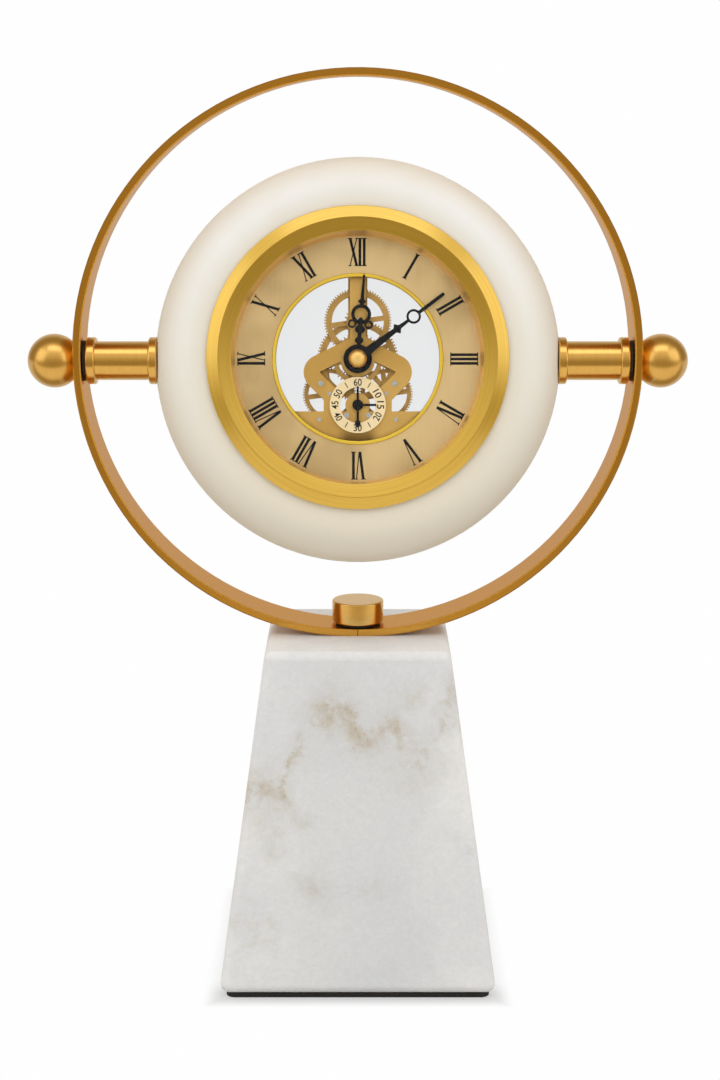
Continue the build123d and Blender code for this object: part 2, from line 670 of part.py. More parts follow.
# Front plate: column, boss, two curved arms and the lower segment in one piece
with BuildPart() as front_plate:
    with BuildSketch(FACE.offset(PLATE_REAR)):
        Circle(PLATE_R)
        with Locations((0, PLATE_EDGE_Y)):
            Rectangle(2 * PLATE_R, 2 * PLATE_R, align=(Align.CENTER, Align.MIN), mode=Mode.SUBTRACT)
        Rectangle(COLUMN_WIDTH, COLUMN_TOP, align=(Align.CENTER, Align.MIN))
        Circle(BOSS_R)
        for arm in arms:
            SlotArc(arm, ARM_WIDTH)
        with Locations(*SIDE_LEGS):
            SlotCenterToCenter(LEG_LENGTH, LEG_WIDTH, rotation=90)
        with Locations(SECONDS_ARBOR):
            Circle(SECONDS_TAB_R)
        Circle(PIPE_R + RUN_CLEAR, mode=Mode.SUBTRACT)
        with Locations(*SIDE_ARBORS, SECONDS_ARBOR):
            Circle(ARBOR_R + RUN_CLEAR, mode=Mode.SUBTRACT)
        with Locations(UPPER_ARBOR):
            Circle(STUD_WHEEL_R + FIT_CLEAR, mode=Mode.SUBTRACT)
        with Locations(*PILLARS):
            Circle(PILLAR_TIP_R + FIT_CLEAR, mode=Mode.SUBTRACT)
        with Locations(*HOUSING_SCREWS, *SHORT_SCREWS):
            Circle(SCREW_R + FIT_CLEAR, mode=Mode.SUBTRACT)
    extrude(amount=PLATE_THICK)
finish(front_plate, "front_plate")

# Back plate: a wider column, the same arms and the lower segment
with BuildPart() as back_plate:
    with BuildSketch(FACE.offset(BACK_REAR)):
        Circle(PLATE_R)
        with Locations((0, PLATE_EDGE_Y)):
            Rectangle(2 * PLATE_R, 2 * PLATE_R, align=(Align.CENTER, Align.MIN), mode=Mode.SUBTRACT)
        Rectangle(BACK_COLUMN_WIDTH, COLUMN_TOP, align=(Align.CENTER, Align.MIN))
        Circle(BOSS_R)
        for arm in arms:
            SlotArc(arm, ARM_WIDTH)
        with Locations(*SIDE_LEGS):
            SlotCenterToCenter(LEG_LENGTH, LEG_WIDTH, rotation=90)
        with Locations(SECONDS_ARBOR):
            Circle(SECONDS_TAB_R)
        Circle(CENTRE_ARBOR_R + RUN_CLEAR, mode=Mode.SUBTRACT)
        with Locations(*SIDE_ARBORS, SECONDS_ARBOR):
            Circle(ARBOR_R + RUN_CLEAR, mode=Mode.SUBTRACT)
        with Locations(ROTOR_ARBOR):
            Circle(ROTOR_R + RUN_CLEAR, mode=Mode.SUBTRACT)
        with Locations(*PILLARS):
            Circle(PILLAR_TIP_R + FIT_CLEAR, mode=Mode.SUBTRACT)
    extrude(amount=PLATE_THICK)
finish(back_plate, "back_plate")

# Pillars between the plates, and posts from the front plate to the dials
with BuildPart() as pillars:
    with BuildSketch(FACE.offset(BACK_FRONT)):
        with Locations(*PILLARS):
            Circle(PILLAR_R)
    extrude(amount=PLATE_REAR - BACK_FRONT)
    with BuildSketch(FACE.offset(BACK_REAR)):
        with Locations(*PILLARS):
            Circle(PILLAR_TIP_R)
    extrude(amount=PLATE_FRONT - BACK_REAR)
finish(pillars, "pillars")

with BuildPart() as dial_posts:
    with BuildSketch(FACE.offset(PLATE_FRONT)):
        with Locations(*DIAL_POSTS):
            Circle(DIAL_POST_R)
    extrude(amount=DIAL_POST)
finish(dial_posts, "dial_posts")

with BuildPart() as seconds_posts:
    with BuildSketch(FACE.offset(PLATE_FRONT)):
        with Locations(*SECONDS_POSTS):
            Circle(SECONDS_POST_R)
    extrude(amount=SECONDS_POST)
finish(seconds_posts, "seconds_posts")

with BuildPart() as seconds_dial:
    with BuildSketch(face_plane(SECONDS_ARBOR, SECONDS_DIAL_H)):
        Circle(SECONDS_DIAL_R)
        Circle(SECONDS_DIAL_R - SECONDS_DIAL_WIDTH, mode=Mode.SUBTRACT)
    extrude(amount=SECONDS_DIAL_THICK)
finish(seconds_dial, "seconds_dial")

# Slotted screws in the front plate: two into the motor housing,
# two beside the seconds arbor and two in the arms
with BuildPart() as plate_screws:
    with BuildSketch(FACE.offset(PLATE_REAR)):
        with Locations(*HOUSING_SCREWS, *SHORT_SCREWS):
            Circle(SCREW_R)
    extrude(amount=PLATE_THICK)
    with BuildSketch(FACE.offset(PLATE_REAR)):
        with Locations(*HOUSING_SCREWS):
            Circle(SCREW_R)
    extrude(amount=-2 * PLATE_THICK)
    with BuildSketch(FACE.offset(PLATE_FRONT)):
        with Locations(*HOUSING_SCREWS):
            Circle(HOUSING_HEAD_R)
        with Locations(*SHORT_SCREWS):
            Circle(SCREW_HEAD_R)
    extrude(amount=SCREW_HEAD)
    with BuildSketch(FACE.offset(PLATE_FRONT + SCREW_HEAD / 2)):
        with Locations(*HOUSING_SCREWS, *SHORT_SCREWS):
            Rectangle(2 * SCREW_HEAD_R, SCREW_SLOT, rotation=SCREW_TURN)
    extrude(amount=SCREW_HEAD, mode=Mode.SUBTRACT)
finish(plate_screws, "plate_screws")

# Stud of the minute wheel, riveted in the front plate's column
with BuildPart() as minute_wheel_stud:
    with BuildSketch(face_plane(UPPER_ARBOR, MINUTE_WHEEL_H)):
        Circle(STUD_WHEEL_R)
    extrude(amount=PLATE_FRONT - MINUTE_WHEEL_H)
    with BuildSketch(face_plane(UPPER_ARBOR, PLATE_FRONT)):
        Circle(SCREW_HEAD_R)
    extrude(amount=SCREW_HEAD / 2)
finish(minute_wheel_stud, "minute_wheel_stud")

# Minute arbor with its wheel, cannon pinion, hand, nut and setting knob
with BuildPart() as centre_arbor:
    with BuildSketch(FACE.offset(KNOB_REAR + KNOB_THICK / 2)):
        Circle(CENTRE_ARBOR_R)
    extrude(amount=NUT_H + NUT_HEIGHT / 2 - KNOB_REAR - KNOB_THICK / 2)
finish(centre_arbor, "centre_arbor")

with BuildPart() as centre_wheel:
    with BuildSketch(FACE.offset(CENTRE_WHEEL_H)):
        add(
            spoked_wheel(
                CENTRE_TEETH, CENTRE_MODULE, CENTRE_PHASE,
                CENTRE_ARBOR_R + FIT_CLEAR, CENTRE_HUB_R, CENTRE_SPOKES, CENTRE_RIM,
            )
        )
    extrude(amount=WHEEL_THICK)
finish(centre_wheel, "centre_wheel")

with BuildPart() as cannon_pinion:
    with BuildSketch(FACE.offset(MINUTE_WHEEL_H)):
        Polygon(*toothed_outline(CANNON_TEETH, MINUTE_MODULE, CANNON_PHASE), align=None)
        Circle(CENTRE_ARBOR_R + FIT_CLEAR, mode=Mode.SUBTRACT)
    extrude(amount=WHEEL_THICK)
finish(cannon_pinion, "cannon_pinion")

with BuildPart() as minute_hand:
    with BuildSketch(face_plane((0, 0), MINUTE_HAND_H, MINUTE_ANGLE)):
        Polygon(
            (-MINUTE_ROOT_WIDTH / 2, 0),
            (MINUTE_ROOT_WIDTH / 2, 0),
            (MINUTE_NECK_WIDTH / 2, MINUTE_RING[0]),
            (-MINUTE_NECK_WIDTH / 2, MINUTE_RING[0]),
            align=None,
        )
        with Locations((0, MINUTE_RING[0])):
            Rectangle(
                MINUTE_TIP_WIDTH,
                MINUTE_LENGTH - MINUTE_TIP_WIDTH / 2 - MINUTE_RING[0],
                align=(Align.CENTER, Align.MIN),
            )
        with Locations((0, MINUTE_LENGTH - MINUTE_TIP_WIDTH / 2)):
            Circle(MINUTE_TIP_WIDTH / 2)
        with Locations((0, MINUTE_KNOB[0])):
            Ellipse(*MINUTE_COLLAR)
            Circle(MINUTE_KNOB[1])
        with Locations((0, MINUTE_RING[0])):
            Circle(MINUTE_RING[1])
            Circle(MINUTE_RING[1] - MINUTE_RING_WIDTH, mode=Mode.SUBTRACT)
        Circle(NUT_R)
        Circle(CENTRE_ARBOR_R + FIT_CLEAR, mode=Mode.SUBTRACT)
    extrude(amount=HAND_THICK)
finish(minute_hand, "minute_hand")

with BuildPart() as hand_nut:
    with BuildSketch(SECTION):
        with BuildLine():
            Polyline((0, NUT_H + NUT_HEIGHT), (0, NUT_H), (NUT_R, NUT_H))
            EllipticalCenterArc((0, NUT_H), NUT_R, NUT_HEIGHT, start_angle=0, arc_size=90)
        make_face()
    revolve(axis=FACE_AXIS)
    with BuildSketch(FACE.offset(NUT_H)):
        Circle(CENTRE_ARBOR_R + FIT_CLEAR)
    extrude(amount=NUT_HEIGHT / 2 + FIT_CLEAR, mode=Mode.SUBTRACT)
    with BuildSketch(FACE.offset(NUT_H + NUT_HEIGHT)):
        Circle(NUT_DIMPLE_R)
    extrude(amount=-NUT_DIMPLE_R, mode=Mode.SUBTRACT)
finish(hand_nut, "hand_nut")

with BuildPart() as setting_knob:
    with BuildSketch(FACE.offset(KNOB_REAR)):
        Circle(KNOB_R)
        with PolarLocations(KNOB_R, KNOB_FLUTES):
            Circle(KNOB_R / KNOB_FLUTES, mode=Mode.SUBTRACT)
    extrude(amount=KNOB_THICK)
    with BuildSketch(FACE.offset(KNOB_FRONT)):
        Circle(CENTRE_ARBOR_R + FIT_CLEAR)
    extrude(amount=-KNOB_THICK / 2 - FIT_CLEAR, mode=Mode.SUBTRACT)
finish(setting_knob, "setting_knob")

# Hour wheel on its pipe round the minute arbor, and the hour hand on the pipe
with BuildPart() as hour_wheel:
    with BuildSketch(FACE.offset(HOUR_WHEEL_H)):
        add(spoked_wheel(HOUR_TEETH, HOUR_MODULE, HOUR_PHASE, PIPE_BORE_R, HOUR_HUB_R, SPOKES, HOUR_RIM))
    extrude(amount=WHEEL_THICK)
    with BuildSketch(FACE.offset(HOUR_WHEEL_H)):
        Circle(PIPE_R)
        Circle(PIPE_BORE_R, mode=Mode.SUBTRACT)
    extrude(amount=HOUR_HAND_H + HAND_THICK - HOUR_WHEEL_H)
finish(hour_wheel, "hour_wheel")

HOUR_CURLS = mirrored((HOUR_RING[1] - HOUR_RING_WIDTH / 2, HOUR_RING[0] - HOUR_RING[1]))
with BuildPart() as hour_hand:
    with BuildSketch(face_plane((0, 0), HOUR_HAND_H, HOUR_ANGLE)):
        Rectangle(HOUR_STEM_WIDTH, HOUR_DIAMOND[0], align=(Align.CENTER, Align.MIN))
        for place, radius in (HOUR_LOW_BULB, HOUR_HIGH_BULB):
            with Locations((0, place)):
                Ellipse(radius, radius * BULB_SQUASH)
        with Locations((0, HOUR_RING[0])):
            Circle(HOUR_RING[1])
        with Locations(*HOUR_CURLS):
            Circle(HOUR_CURL_R)
            Circle(HOUR_CURL_R - HOUR_STEM_WIDTH / 2, mode=Mode.SUBTRACT)
        with Locations((0, HOUR_RING[0])):
            Circle(HOUR_RING[1] - HOUR_RING_WIDTH, mode=Mode.SUBTRACT)
        for foot, tip in (HOUR_ARROW, HOUR_TOOTH):
            Polygon((-HOUR_HIGH_BULB[1], foot), (HOUR_HIGH_BULB[1], foot), (0, tip), align=None)
        with Locations((0, HOUR_DIAMOND[0])):
            Rectangle(HOUR_DIAMOND[1] * sqrt(2), HOUR_DIAMOND[1] * sqrt(2), rotation=45)
        Polygon(
            (-HOUR_STEM_WIDTH / 2, HOUR_DIAMOND[0]),
            (HOUR_STEM_WIDTH / 2, HOUR_DIAMOND[0]),
            (HOUR_TIP_WIDTH / 2, HOUR_LENGTH),
            (-HOUR_TIP_WIDTH / 2, HOUR_LENGTH),
            align=None,
        )
        Circle(HUB_R)
        Circle(PIPE_R + FIT_CLEAR, mode=Mode.SUBTRACT)
    extrude(amount=HAND_THICK)
finish(hour_hand, "hour_hand")

# Minute wheel with its pinion, turning on its stud
with BuildPart() as minute_wheel:
    with BuildSketch(face_plane(UPPER_ARBOR, MINUTE_WHEEL_H)):
        add(
            spoked_wheel(
                MINUTE_TEETH, MINUTE_MODULE, MINUTE_PHASE,
                STUD_WHEEL_R + RUN_CLEAR, MINUTE_HUB_R, SPOKES, MINUTE_RIM,
            )
        )
    extrude(amount=WHEEL_THICK)
    with BuildSketch(face_plane(UPPER_ARBOR, MINUTE_WHEEL_H + WHEEL_THICK)):
        Polygon(*toothed_outline(HOUR_PINION_TEETH, HOUR_MODULE, HOUR_PINION_PHASE), align=None)
        Circle(STUD_WHEEL_R + RUN_CLEAR, mode=Mode.SUBTRACT)
    extrude(amount=WHEEL_STEP)
finish(minute_wheel, "minute_wheel")

# Third arbor with its pinion, drive arbor, and the wheel on each
for name, place, phase in (("third", THIRD_ARBOR, THIRD_PHASE), ("drive", DRIVE_ARBOR, DRIVE_PHASE)):
    with BuildPart() as arbor:
        with BuildSketch(face_plane(place, BACK_REAR)):
            Circle(ARBOR_R)
        extrude(amount=PLATE_FRONT - BACK_REAR)
        if name == "third":
            with BuildSketch(face_plane(place, CENTRE_WHEEL_H)):
                Polygon(
                    *toothed_outline(THIRD_PINION_TEETH, CENTRE_MODULE, THIRD_PINION_PHASE), align=None
                )
            extrude(amount=WHEEL_THICK)
    finish(arbor, f"{name}_arbor")

    with BuildPart() as wheel:
        with BuildSketch(face_plane(place, THIRD_WHEEL_H)):
            add(
                spoked_wheel(
                    THIRD_TEETH, THIRD_MODULE, phase, ARBOR_R + FIT_CLEAR, THIRD_HUB_R, SPOKES, THIRD_RIM
                )
            )
        extrude(amount=WHEEL_THICK)
    finish(wheel, f"{name}_wheel")

# Seconds arbor with its pinion, and the three-armed seconds hand
with BuildPart() as seconds_arbor:
    with BuildSketch(face_plane(SECONDS_ARBOR, BACK_REAR)):
        Circle(ARBOR_R)
    extrude(amount=SECONDS_HAND_H + SECONDS_HAND_THICK / 2 - BACK_REAR)
    with BuildSketch(face_plane(SECONDS_ARBOR, THIRD_WHEEL_H)):
        Polygon(*toothed_outline(SECONDS_PINION_TEETH, THIRD_MODULE, SECONDS_PHASE), align=None)
    extrude(amount=WHEEL_THICK)
finish(seconds_arbor, "seconds_arbor")

with BuildPart() as seconds_hand:
    with BuildSketch(face_plane(SECONDS_ARBOR, SECONDS_HAND_H)):
        Circle(SECONDS_HUB_R)
        with PolarLocations(0, SECONDS_ARMS, start_angle=-90, angular_range=270):
            Rectangle(SECONDS_ARM, SECONDS_ARM_WIDTH, align=(Align.MIN, Align.CENTER))
        with Locations((0, -SECONDS_ARM)):
            Ellipse(*SECONDS_SPADE)
    extrude(amount=SECONDS_HAND_THICK)
    with BuildSketch(face_plane(SECONDS_ARBOR, SECONDS_HAND_H)):
        Circle(ARBOR_R + FIT_CLEAR)
    extrude(amount=SECONDS_HAND_THICK / 2 + FIT_CLEAR, mode=Mode.SUBTRACT)
finish(seconds_hand, "seconds_hand")

# Motor housing, open towards the front plate, with a boss for each screw
HOUSING_MIDDLE = (0, HOUSING_EDGE_Y - HOUSING_DEPTH / 2)
HOUSING_FLOOR = HOUSING_H + HOUSING_WALL
with BuildPart() as motor_housing:
    with BuildSketch(face_plane(HOUSING_MIDDLE, HOUSING_H)):
        Rectangle(HOUSING_WIDTH, HOUSING_DEPTH)
    extrude(amount=PLATE_REAR - HOUSING_H)
    with BuildSketch(face_plane(HOUSING_MIDDLE, HOUSING_FLOOR)):
        Rectangle(HOUSING_WIDTH - 2 * HOUSING_WALL, HOUSING_DEPTH - 2 * HOUSING_WALL)
    extrude(amount=PLATE_REAR - HOUSING_FLOOR, mode=Mode.SUBTRACT)
    with BuildSketch(FACE.offset(HOUSING_H)):
        with Locations(*HOUSING_SCREWS):
            Circle(HOUSING_BOSS_R)
    extrude(amount=PLATE_REAR - HOUSING_H)
    with BuildSketch(FACE.offset(PLATE_REAR)):
        with Locations(*HOUSING_SCREWS):
            Circle(SCREW_R + FIT_CLEAR)
    extrude(amount=-2 * PLATE_THICK - FIT_CLEAR, mode=Mode.SUBTRACT)
    with BuildSketch(face_plane(ROTOR_ARBOR, HOUSING_H)):
        Circle(ROTOR_R + RUN_CLEAR)
    extrude(amount=HOUSING_WALL, mode=Mode.SUBTRACT)
finish(motor_housing, "motor_housing")

# Circuit board in the housing's right half and coil along its low edge
BOARD_X = HOUSING_WIDTH / 2 - HOUSING_WALL - FIT_CLEAR - BOARD_WIDTH / 2
BOARD_DEPTH = HOUSING_DEPTH - 2 * (HOUSING_WALL + HOUSING_BOSS_R)
with BuildPart() as circuit_board:
    with BuildSketch(face_plane((BOARD_X, HOUSING_MIDDLE[1]), HOUSING_FLOOR)):
        Rectangle(BOARD_WIDTH, BOARD_DEPTH - 2 * HOUSING_BOSS_R)
    extrude(amount=BOARD_THICK)
finish(circuit_board, "circuit_board")

COIL_X = COIL_LENGTH / 2 + BODY_GAP
COIL_POINT = (-COIL_X, HOUSING_EDGE_Y - HOUSING_DEPTH + HOUSING_WALL + FIT_CLEAR + COIL_FLANGE_R)
COIL_PLANE = Plane(
    origin=FACE.from_local_coords((*COIL_POINT, HOUSING_FLOOR + COIL_FLANGE_R + FIT_CLEAR)),
    x_dir=FACE.y_dir,
    z_dir=FACE.x_dir,
)
with BuildPart() as motor_coil:
    with BuildSketch(COIL_PLANE):
        Circle(COIL_R)
    extrude(amount=COIL_LENGTH / 2, both=True)
    for end in (-1, 1):
        with BuildSketch(COIL_PLANE.offset(end * COIL_LENGTH / 2)):
            Circle(COIL_FLANGE_R)
        extrude(amount=-end * COIL_FLANGE)
finish(motor_coil, "motor_coil")

# Rotor: a magnet in the housing on a thin arbor that carries the motor's pinion
with BuildPart() as rotor:
    with BuildSketch(face_plane(ROTOR_ARBOR, BACK_REAR)):
        Circle(ROTOR_R)
    extrude(amount=HOUSING_FLOOR + BODY_GAP - BACK_REAR)
    with BuildSketch(face_plane(ROTOR_ARBOR, HOUSING_FLOOR + BODY_GAP)):
        Circle(MAGNET_R)
    extrude(amount=MAGNET_THICK)
    with BuildSketch(face_plane(ROTOR_ARBOR, THIRD_WHEEL_H)):
        Polygon(*toothed_outline(ROTOR_TEETH, THIRD_MODULE, ROTOR_PHASE), align=None)
    extrude(amount=WHEEL_THICK)
finish(rotor, "rotor")

# Battery tray on the back plate, the cell along it and a contact at each end
BATTERY_POINT = (0, BATTERY_Y)
CELL_REACH = BATTERY_LENGTH / 2 + BATTERY_NUB + BATTERY_GAP
HOLDER_LENGTH = 2 * (CELL_REACH + CONTACT_THICK + HOLDER_END)
HOLDER_DEPTH = BACK_REAR - BATTERY_H
with BuildPart() as battery_holder:
    with BuildSketch(face_plane(BATTERY_POINT, BACK_REAR)):
        Rectangle(HOLDER_LENGTH, 2 * (BATTERY_R + BATTERY_GAP + HOLDER_WALL))
    extrude(amount=-HOLDER_DEPTH)
    with BuildSketch(face_plane(BATTERY_POINT, BACK_REAR - HOLDER_WALL)):
        Rectangle(2 * (CELL_REACH + CONTACT_THICK), 2 * (BATTERY_R + BATTERY_GAP))
    extrude(amount=-HOLDER_DEPTH, mode=Mode.SUBTRACT)
finish(battery_holder, "battery_holder")

CELL_PLANE = Plane(
    origin=FACE.from_local_coords((0, BATTERY_Y, BATTERY_H)), x_dir=FACE.y_dir, z_dir=FACE.x_dir
)
with BuildPart() as battery:
    with BuildSketch(CELL_PLANE):
        Circle(BATTERY_R)
    extrude(amount=BATTERY_LENGTH / 2, both=True)
    fillet(battery.edges().filter_by(GeomType.CIRCLE), BEZEL_ROUND)
    with BuildSketch(CELL_PLANE.offset(BATTERY_LENGTH / 2)):
        Circle(BATTERY_NUB_R)
    extrude(amount=BATTERY_NUB)
finish(battery, "battery")

with BuildPart() as battery_contacts:
    for end in (-1, 1):
        with BuildSketch(CELL_PLANE.offset(end * CELL_REACH)):
            Rectangle(CONTACT_SIZE, CONTACT_SIZE)
        extrude(amount=end * CONTACT_THICK)
finish(battery_contacts, "battery_contacts")
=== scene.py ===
# %% [markdown]
# # Dressing a desk clock of brass, stone and marble
# The clock comes in as a frame of finished parts, each already at its real size and place. This lesson
# sets a small studio round it, gives every surface its finish, turns two showy brass rings afresh with
# soft edges, prints the dials and squares up the wheels' teeth. Nothing from the frame is moved: a part
# either keeps its mesh and gets a material, or a new piece stands in for it.

# %% Load the frame
import json
from math import atan2, cos, hypot, pi, radians, sin

import bmesh
import bpy
from mathutils import Matrix, Vector
from mathutils.geometry import delaunay_2d_cdt


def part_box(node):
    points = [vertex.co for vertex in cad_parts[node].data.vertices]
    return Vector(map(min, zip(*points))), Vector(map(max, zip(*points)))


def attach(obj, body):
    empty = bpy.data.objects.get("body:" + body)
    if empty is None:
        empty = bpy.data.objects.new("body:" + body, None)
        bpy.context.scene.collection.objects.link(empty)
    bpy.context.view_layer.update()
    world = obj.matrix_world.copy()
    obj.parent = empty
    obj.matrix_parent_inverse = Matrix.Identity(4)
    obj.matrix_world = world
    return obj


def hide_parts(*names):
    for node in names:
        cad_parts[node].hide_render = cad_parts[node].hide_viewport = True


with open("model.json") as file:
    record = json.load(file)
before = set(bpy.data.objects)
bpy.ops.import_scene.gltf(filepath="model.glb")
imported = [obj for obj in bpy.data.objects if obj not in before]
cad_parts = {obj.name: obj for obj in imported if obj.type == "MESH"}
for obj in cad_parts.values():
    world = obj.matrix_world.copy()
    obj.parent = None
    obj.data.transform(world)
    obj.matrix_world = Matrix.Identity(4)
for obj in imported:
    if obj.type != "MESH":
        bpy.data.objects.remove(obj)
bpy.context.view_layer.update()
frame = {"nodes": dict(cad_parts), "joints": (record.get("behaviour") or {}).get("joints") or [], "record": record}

MM = 0.001
nodes = frame["nodes"]
joints = {joint["name"]: joint for joint in frame["joints"]}
print("parts in the frame:", len(nodes))

# %% [markdown]
# ## Where the clock's face is
# The head leans back a little, so its dial is not parallel to any world axis. The joints say how: the
# minute hand turns about the face's axis, and the head tilts about a line through the middle of the disc.
# One matrix made of these two takes a point of the face, given as right, up and towards the reader, into
# the world, and every later step uses it instead of trigonometry of its own.

# %% Measure the face
PIVOT = Vector(joints["head_tilt"]["pos_m"])
PIVOT.x = 0.0
FACE_NORMAL = -Vector(joints["minute_turn"]["axis"])
FACE_RIGHT = Vector((1.0, 0.0, 0.0))
FACE_UP = FACE_NORMAL.cross(FACE_RIGHT)
FACE = Matrix((FACE_RIGHT, FACE_UP, FACE_NORMAL)).transposed().to_4x4()
FACE.translation = PIVOT


def front_of(node):
    """How far a part reaches along the face's axis, from the pivot."""
    return max((vertex.co - PIVOT).dot(FACE_NORMAL) for vertex in nodes[node].data.vertices)


def back_of(node):
    """How far back a part starts along the face's axis, from the pivot."""
    return min((vertex.co - PIVOT).dot(FACE_NORMAL) for vertex in nodes[node].data.vertices)


def half_width(node):
    """Half of a part's width from left to right, which is the radius of a round part on the axis."""
    low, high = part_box(node)
    return (high.x - low.x) / 2


DIAL_FRONT = front_of("dial_ring")
print("dial face stands", round(DIAL_FRONT / MM, 2), "mm before the pivot, which is at height", PIVOT.z)

# %% [markdown]
# ## The camera
# A long lens from a little above, pitched down to keep the whole clock in a tall frame. Pitching the
# camera is simpler than shifting its lens, and other views can reuse it without a skewed picture.

# %% Set the camera
CAMERA_PLACE = Vector((0.001, -0.850, 0.380))
CAMERA_PITCH = radians(12.16)
CAMERA_LENS = 63.5
CAMERA_SENSOR = 36.0
CAMERA_NEAR = 0.01


def add_object(name, data):
    """A new object in the scene, at the origin."""
    item = bpy.data.objects.new(name, data)
    bpy.context.scene.collection.objects.link(item)
    return item


camera_data = bpy.data.cameras.new("camera")
camera_data.lens = CAMERA_LENS
camera_data.sensor_width = CAMERA_SENSOR
camera_data.clip_start = CAMERA_NEAR
camera = add_object("camera", camera_data)
camera.location = CAMERA_PLACE
camera.rotation_euler = (pi / 2 - CAMERA_PITCH, 0.0, 0.0)
bpy.context.scene.camera = camera
bpy.context.scene.view_settings.view_transform = "Standard"
print("camera", round(CAMERA_PLACE.length, 3), "m from the origin")

# %% [markdown]
# ## Building materials from nodes
# Every finish below is a small node tree. One helper adds a node, sets its options and fills its sockets
# with either a value or a link, so that a finish reads as a list of steps. Colours are written as they
# look on a screen, from 0 to 255, and turned into the linear values that shaders want.

# %% Helpers for node trees
def screen_colour(red, green, blue):
    """A screen colour as the linear colour with alpha that a shader socket takes."""
    linear = []
    for part in (red, green, blue):
        share = part / 255
        linear.append(share / 12.92 if share <= 0.04045 else ((share + 0.055) / 1.055) ** 2.4)
    return (*linear, 1.0)


def add_node(tree, kind, sockets=None, **options):
    """Adds a node, sets its options, and fills its input sockets with values or links."""
    node = tree.nodes.new(kind)
    for option, value in options.items():
        setattr(node, option, value)
    for socket, value in (sockets or {}).items():
        if isinstance(value, bpy.types.NodeSocket):
            tree.links.new(value, node.inputs[socket])
        else:
            node.inputs[socket].default_value = value
    return node


def start_finish(name, **sockets):
    """A new material and its main shader, with the shader's plain values set."""
    material = bpy.data.materials.new(name)
    material.use_nodes = True
    shader = material.node_tree.nodes["Principled BSDF"]
    for socket, value in sockets.items():
        shader.inputs[socket.replace("_", " ")].default_value = value
    return material, material.node_tree, shader


def calculate(tree, operation, first, second=0.0, third=0.0, clamp=False):
    """One step of arithmetic between numbers or sockets."""
    sockets = {0: first, 1: second, 2: third}
    return add_node(tree, "ShaderNodeMath", sockets, operation=operation, use_clamp=clamp).outputs[0]


def between(tree, value, low, high, to_low=0.0, to_high=1.0):
    """Maps a value smoothly from one range to another and stops at the ends."""
    sockets = {"Value": value, "From Min": low, "From Max": high, "To Min": to_low, "To Max": to_high}
    node = add_node(tree, "ShaderNodeMapRange", sockets, interpolation_type="SMOOTHSTEP")
    return node.outputs["Result"]


def distance(tree, x, y):
    """How far a point lies from nought, from its two places across."""
    squares = calculate(tree, "MULTIPLY_ADD", x, x, calculate(tree, "MULTIPLY", y, y))
    return calculate(tree, "SQRT", squares)


def mix_colours(tree, factor, first, second, blend="MIX"):
    """Mixes two colours, each a value or a socket."""
    sockets = {0: factor, 6: first, 7: second}
    return add_node(tree, "ShaderNodeMix", sockets, data_type="RGBA", blend_type=blend).outputs[2]


def noise(tree, vector, scale, detail=3.0, roughness=0.5, distortion=0.0):
    """A soft noise value on a vector, with its scale in features per metre."""
    sockets = {"Vector": vector, "Scale": scale, "Detail": detail}
    sockets.update({"Roughness": roughness, "Distortion": distortion})
    return add_node(tree, "ShaderNodeTexNoise", sockets).outputs["Fac"]


def object_place(tree):
    """The point of the surface in the piece's own coordinates, in metres."""
    return add_node(tree, "ShaderNodeTexCoord").outputs["Object"]


def press_bump(tree, shader, height, depth, strength=1.0):
    """Links a height to the shader's normal, with its depth in metres."""
    bump = add_node(tree, "ShaderNodeBump", {"Height": height, "Distance": depth, "Strength": strength})
    tree.links.new(bump.outputs["Normal"], shader.inputs["Normal"])


print("node helpers are ready")

# %% [markdown]
# ## The studio
# The clock stands on a seamless white table. The table and the world show white to the camera and to rays
# that go through glass, and near the clock the table's own shading is mixed in, so that the soft shadow
# stays. Polished brass is drawn almost wholly by what it mirrors, so rays that come off metal meet a
# studio of their own: a lit strip of table in front of the clock, a dark warm room behind the camera that
# grows lighter upwards to the lamp, lit sides, a dark ceiling, and a tan wall at the back.

# %% Make the table
WHITE_LEVEL = 0.992
WHITE = (WHITE_LEVEL, WHITE_LEVEL, WHITE_LEVEL, 1.0)
TABLE_GREY = (0.60, 0.60, 0.60, 1.0)
TABLE_LIT = (0.86, 0.76, 0.55, 1.0)
TABLE_NEAR = (0.36, 0.27, 0.13, 1.0)
ROOM_DARK = (0.37, 0.29, 0.14, 1.0)
BACK_WALL = (0.68, 0.61, 0.50, 1.0)
STRIP_START = (-0.64, -0.58)
STRIP_END = (-0.09, 0.0)
WALL_START = (0.05, 0.30)
SHADOW_SHARE = 0.60
SHADOW_BEHIND = 0.35 * SHADOW_SHARE
SHADOW_FRONT = (-0.040, -0.060)
SHADOW_EDGE = (0.061, 0.070)
TABLE_SIZE = 14.0


def table_glow(tree, axes, path):
    """What the table shows by itself: white to the eye, and a strip of light to metal."""
    to_metal = mix_colours(tree, between(tree, axes["Y"], *STRIP_START), ROOM_DARK, TABLE_LIT)
    to_metal = mix_colours(tree, between(tree, axes["Y"], *STRIP_END), to_metal, TABLE_NEAR)
    to_metal = mix_colours(tree, between(tree, axes["Y"], *WALL_START), to_metal, BACK_WALL)
    off_metal = calculate(tree, "SUBTRACT", path["Is Glossy Ray"], path["Is Transmission Ray"], clamp=True)
    colour = mix_colours(tree, off_metal, WHITE, to_metal)
    return add_node(tree, "ShaderNodeEmission", {"Color": colour, "Strength": 1.0}).outputs[0]


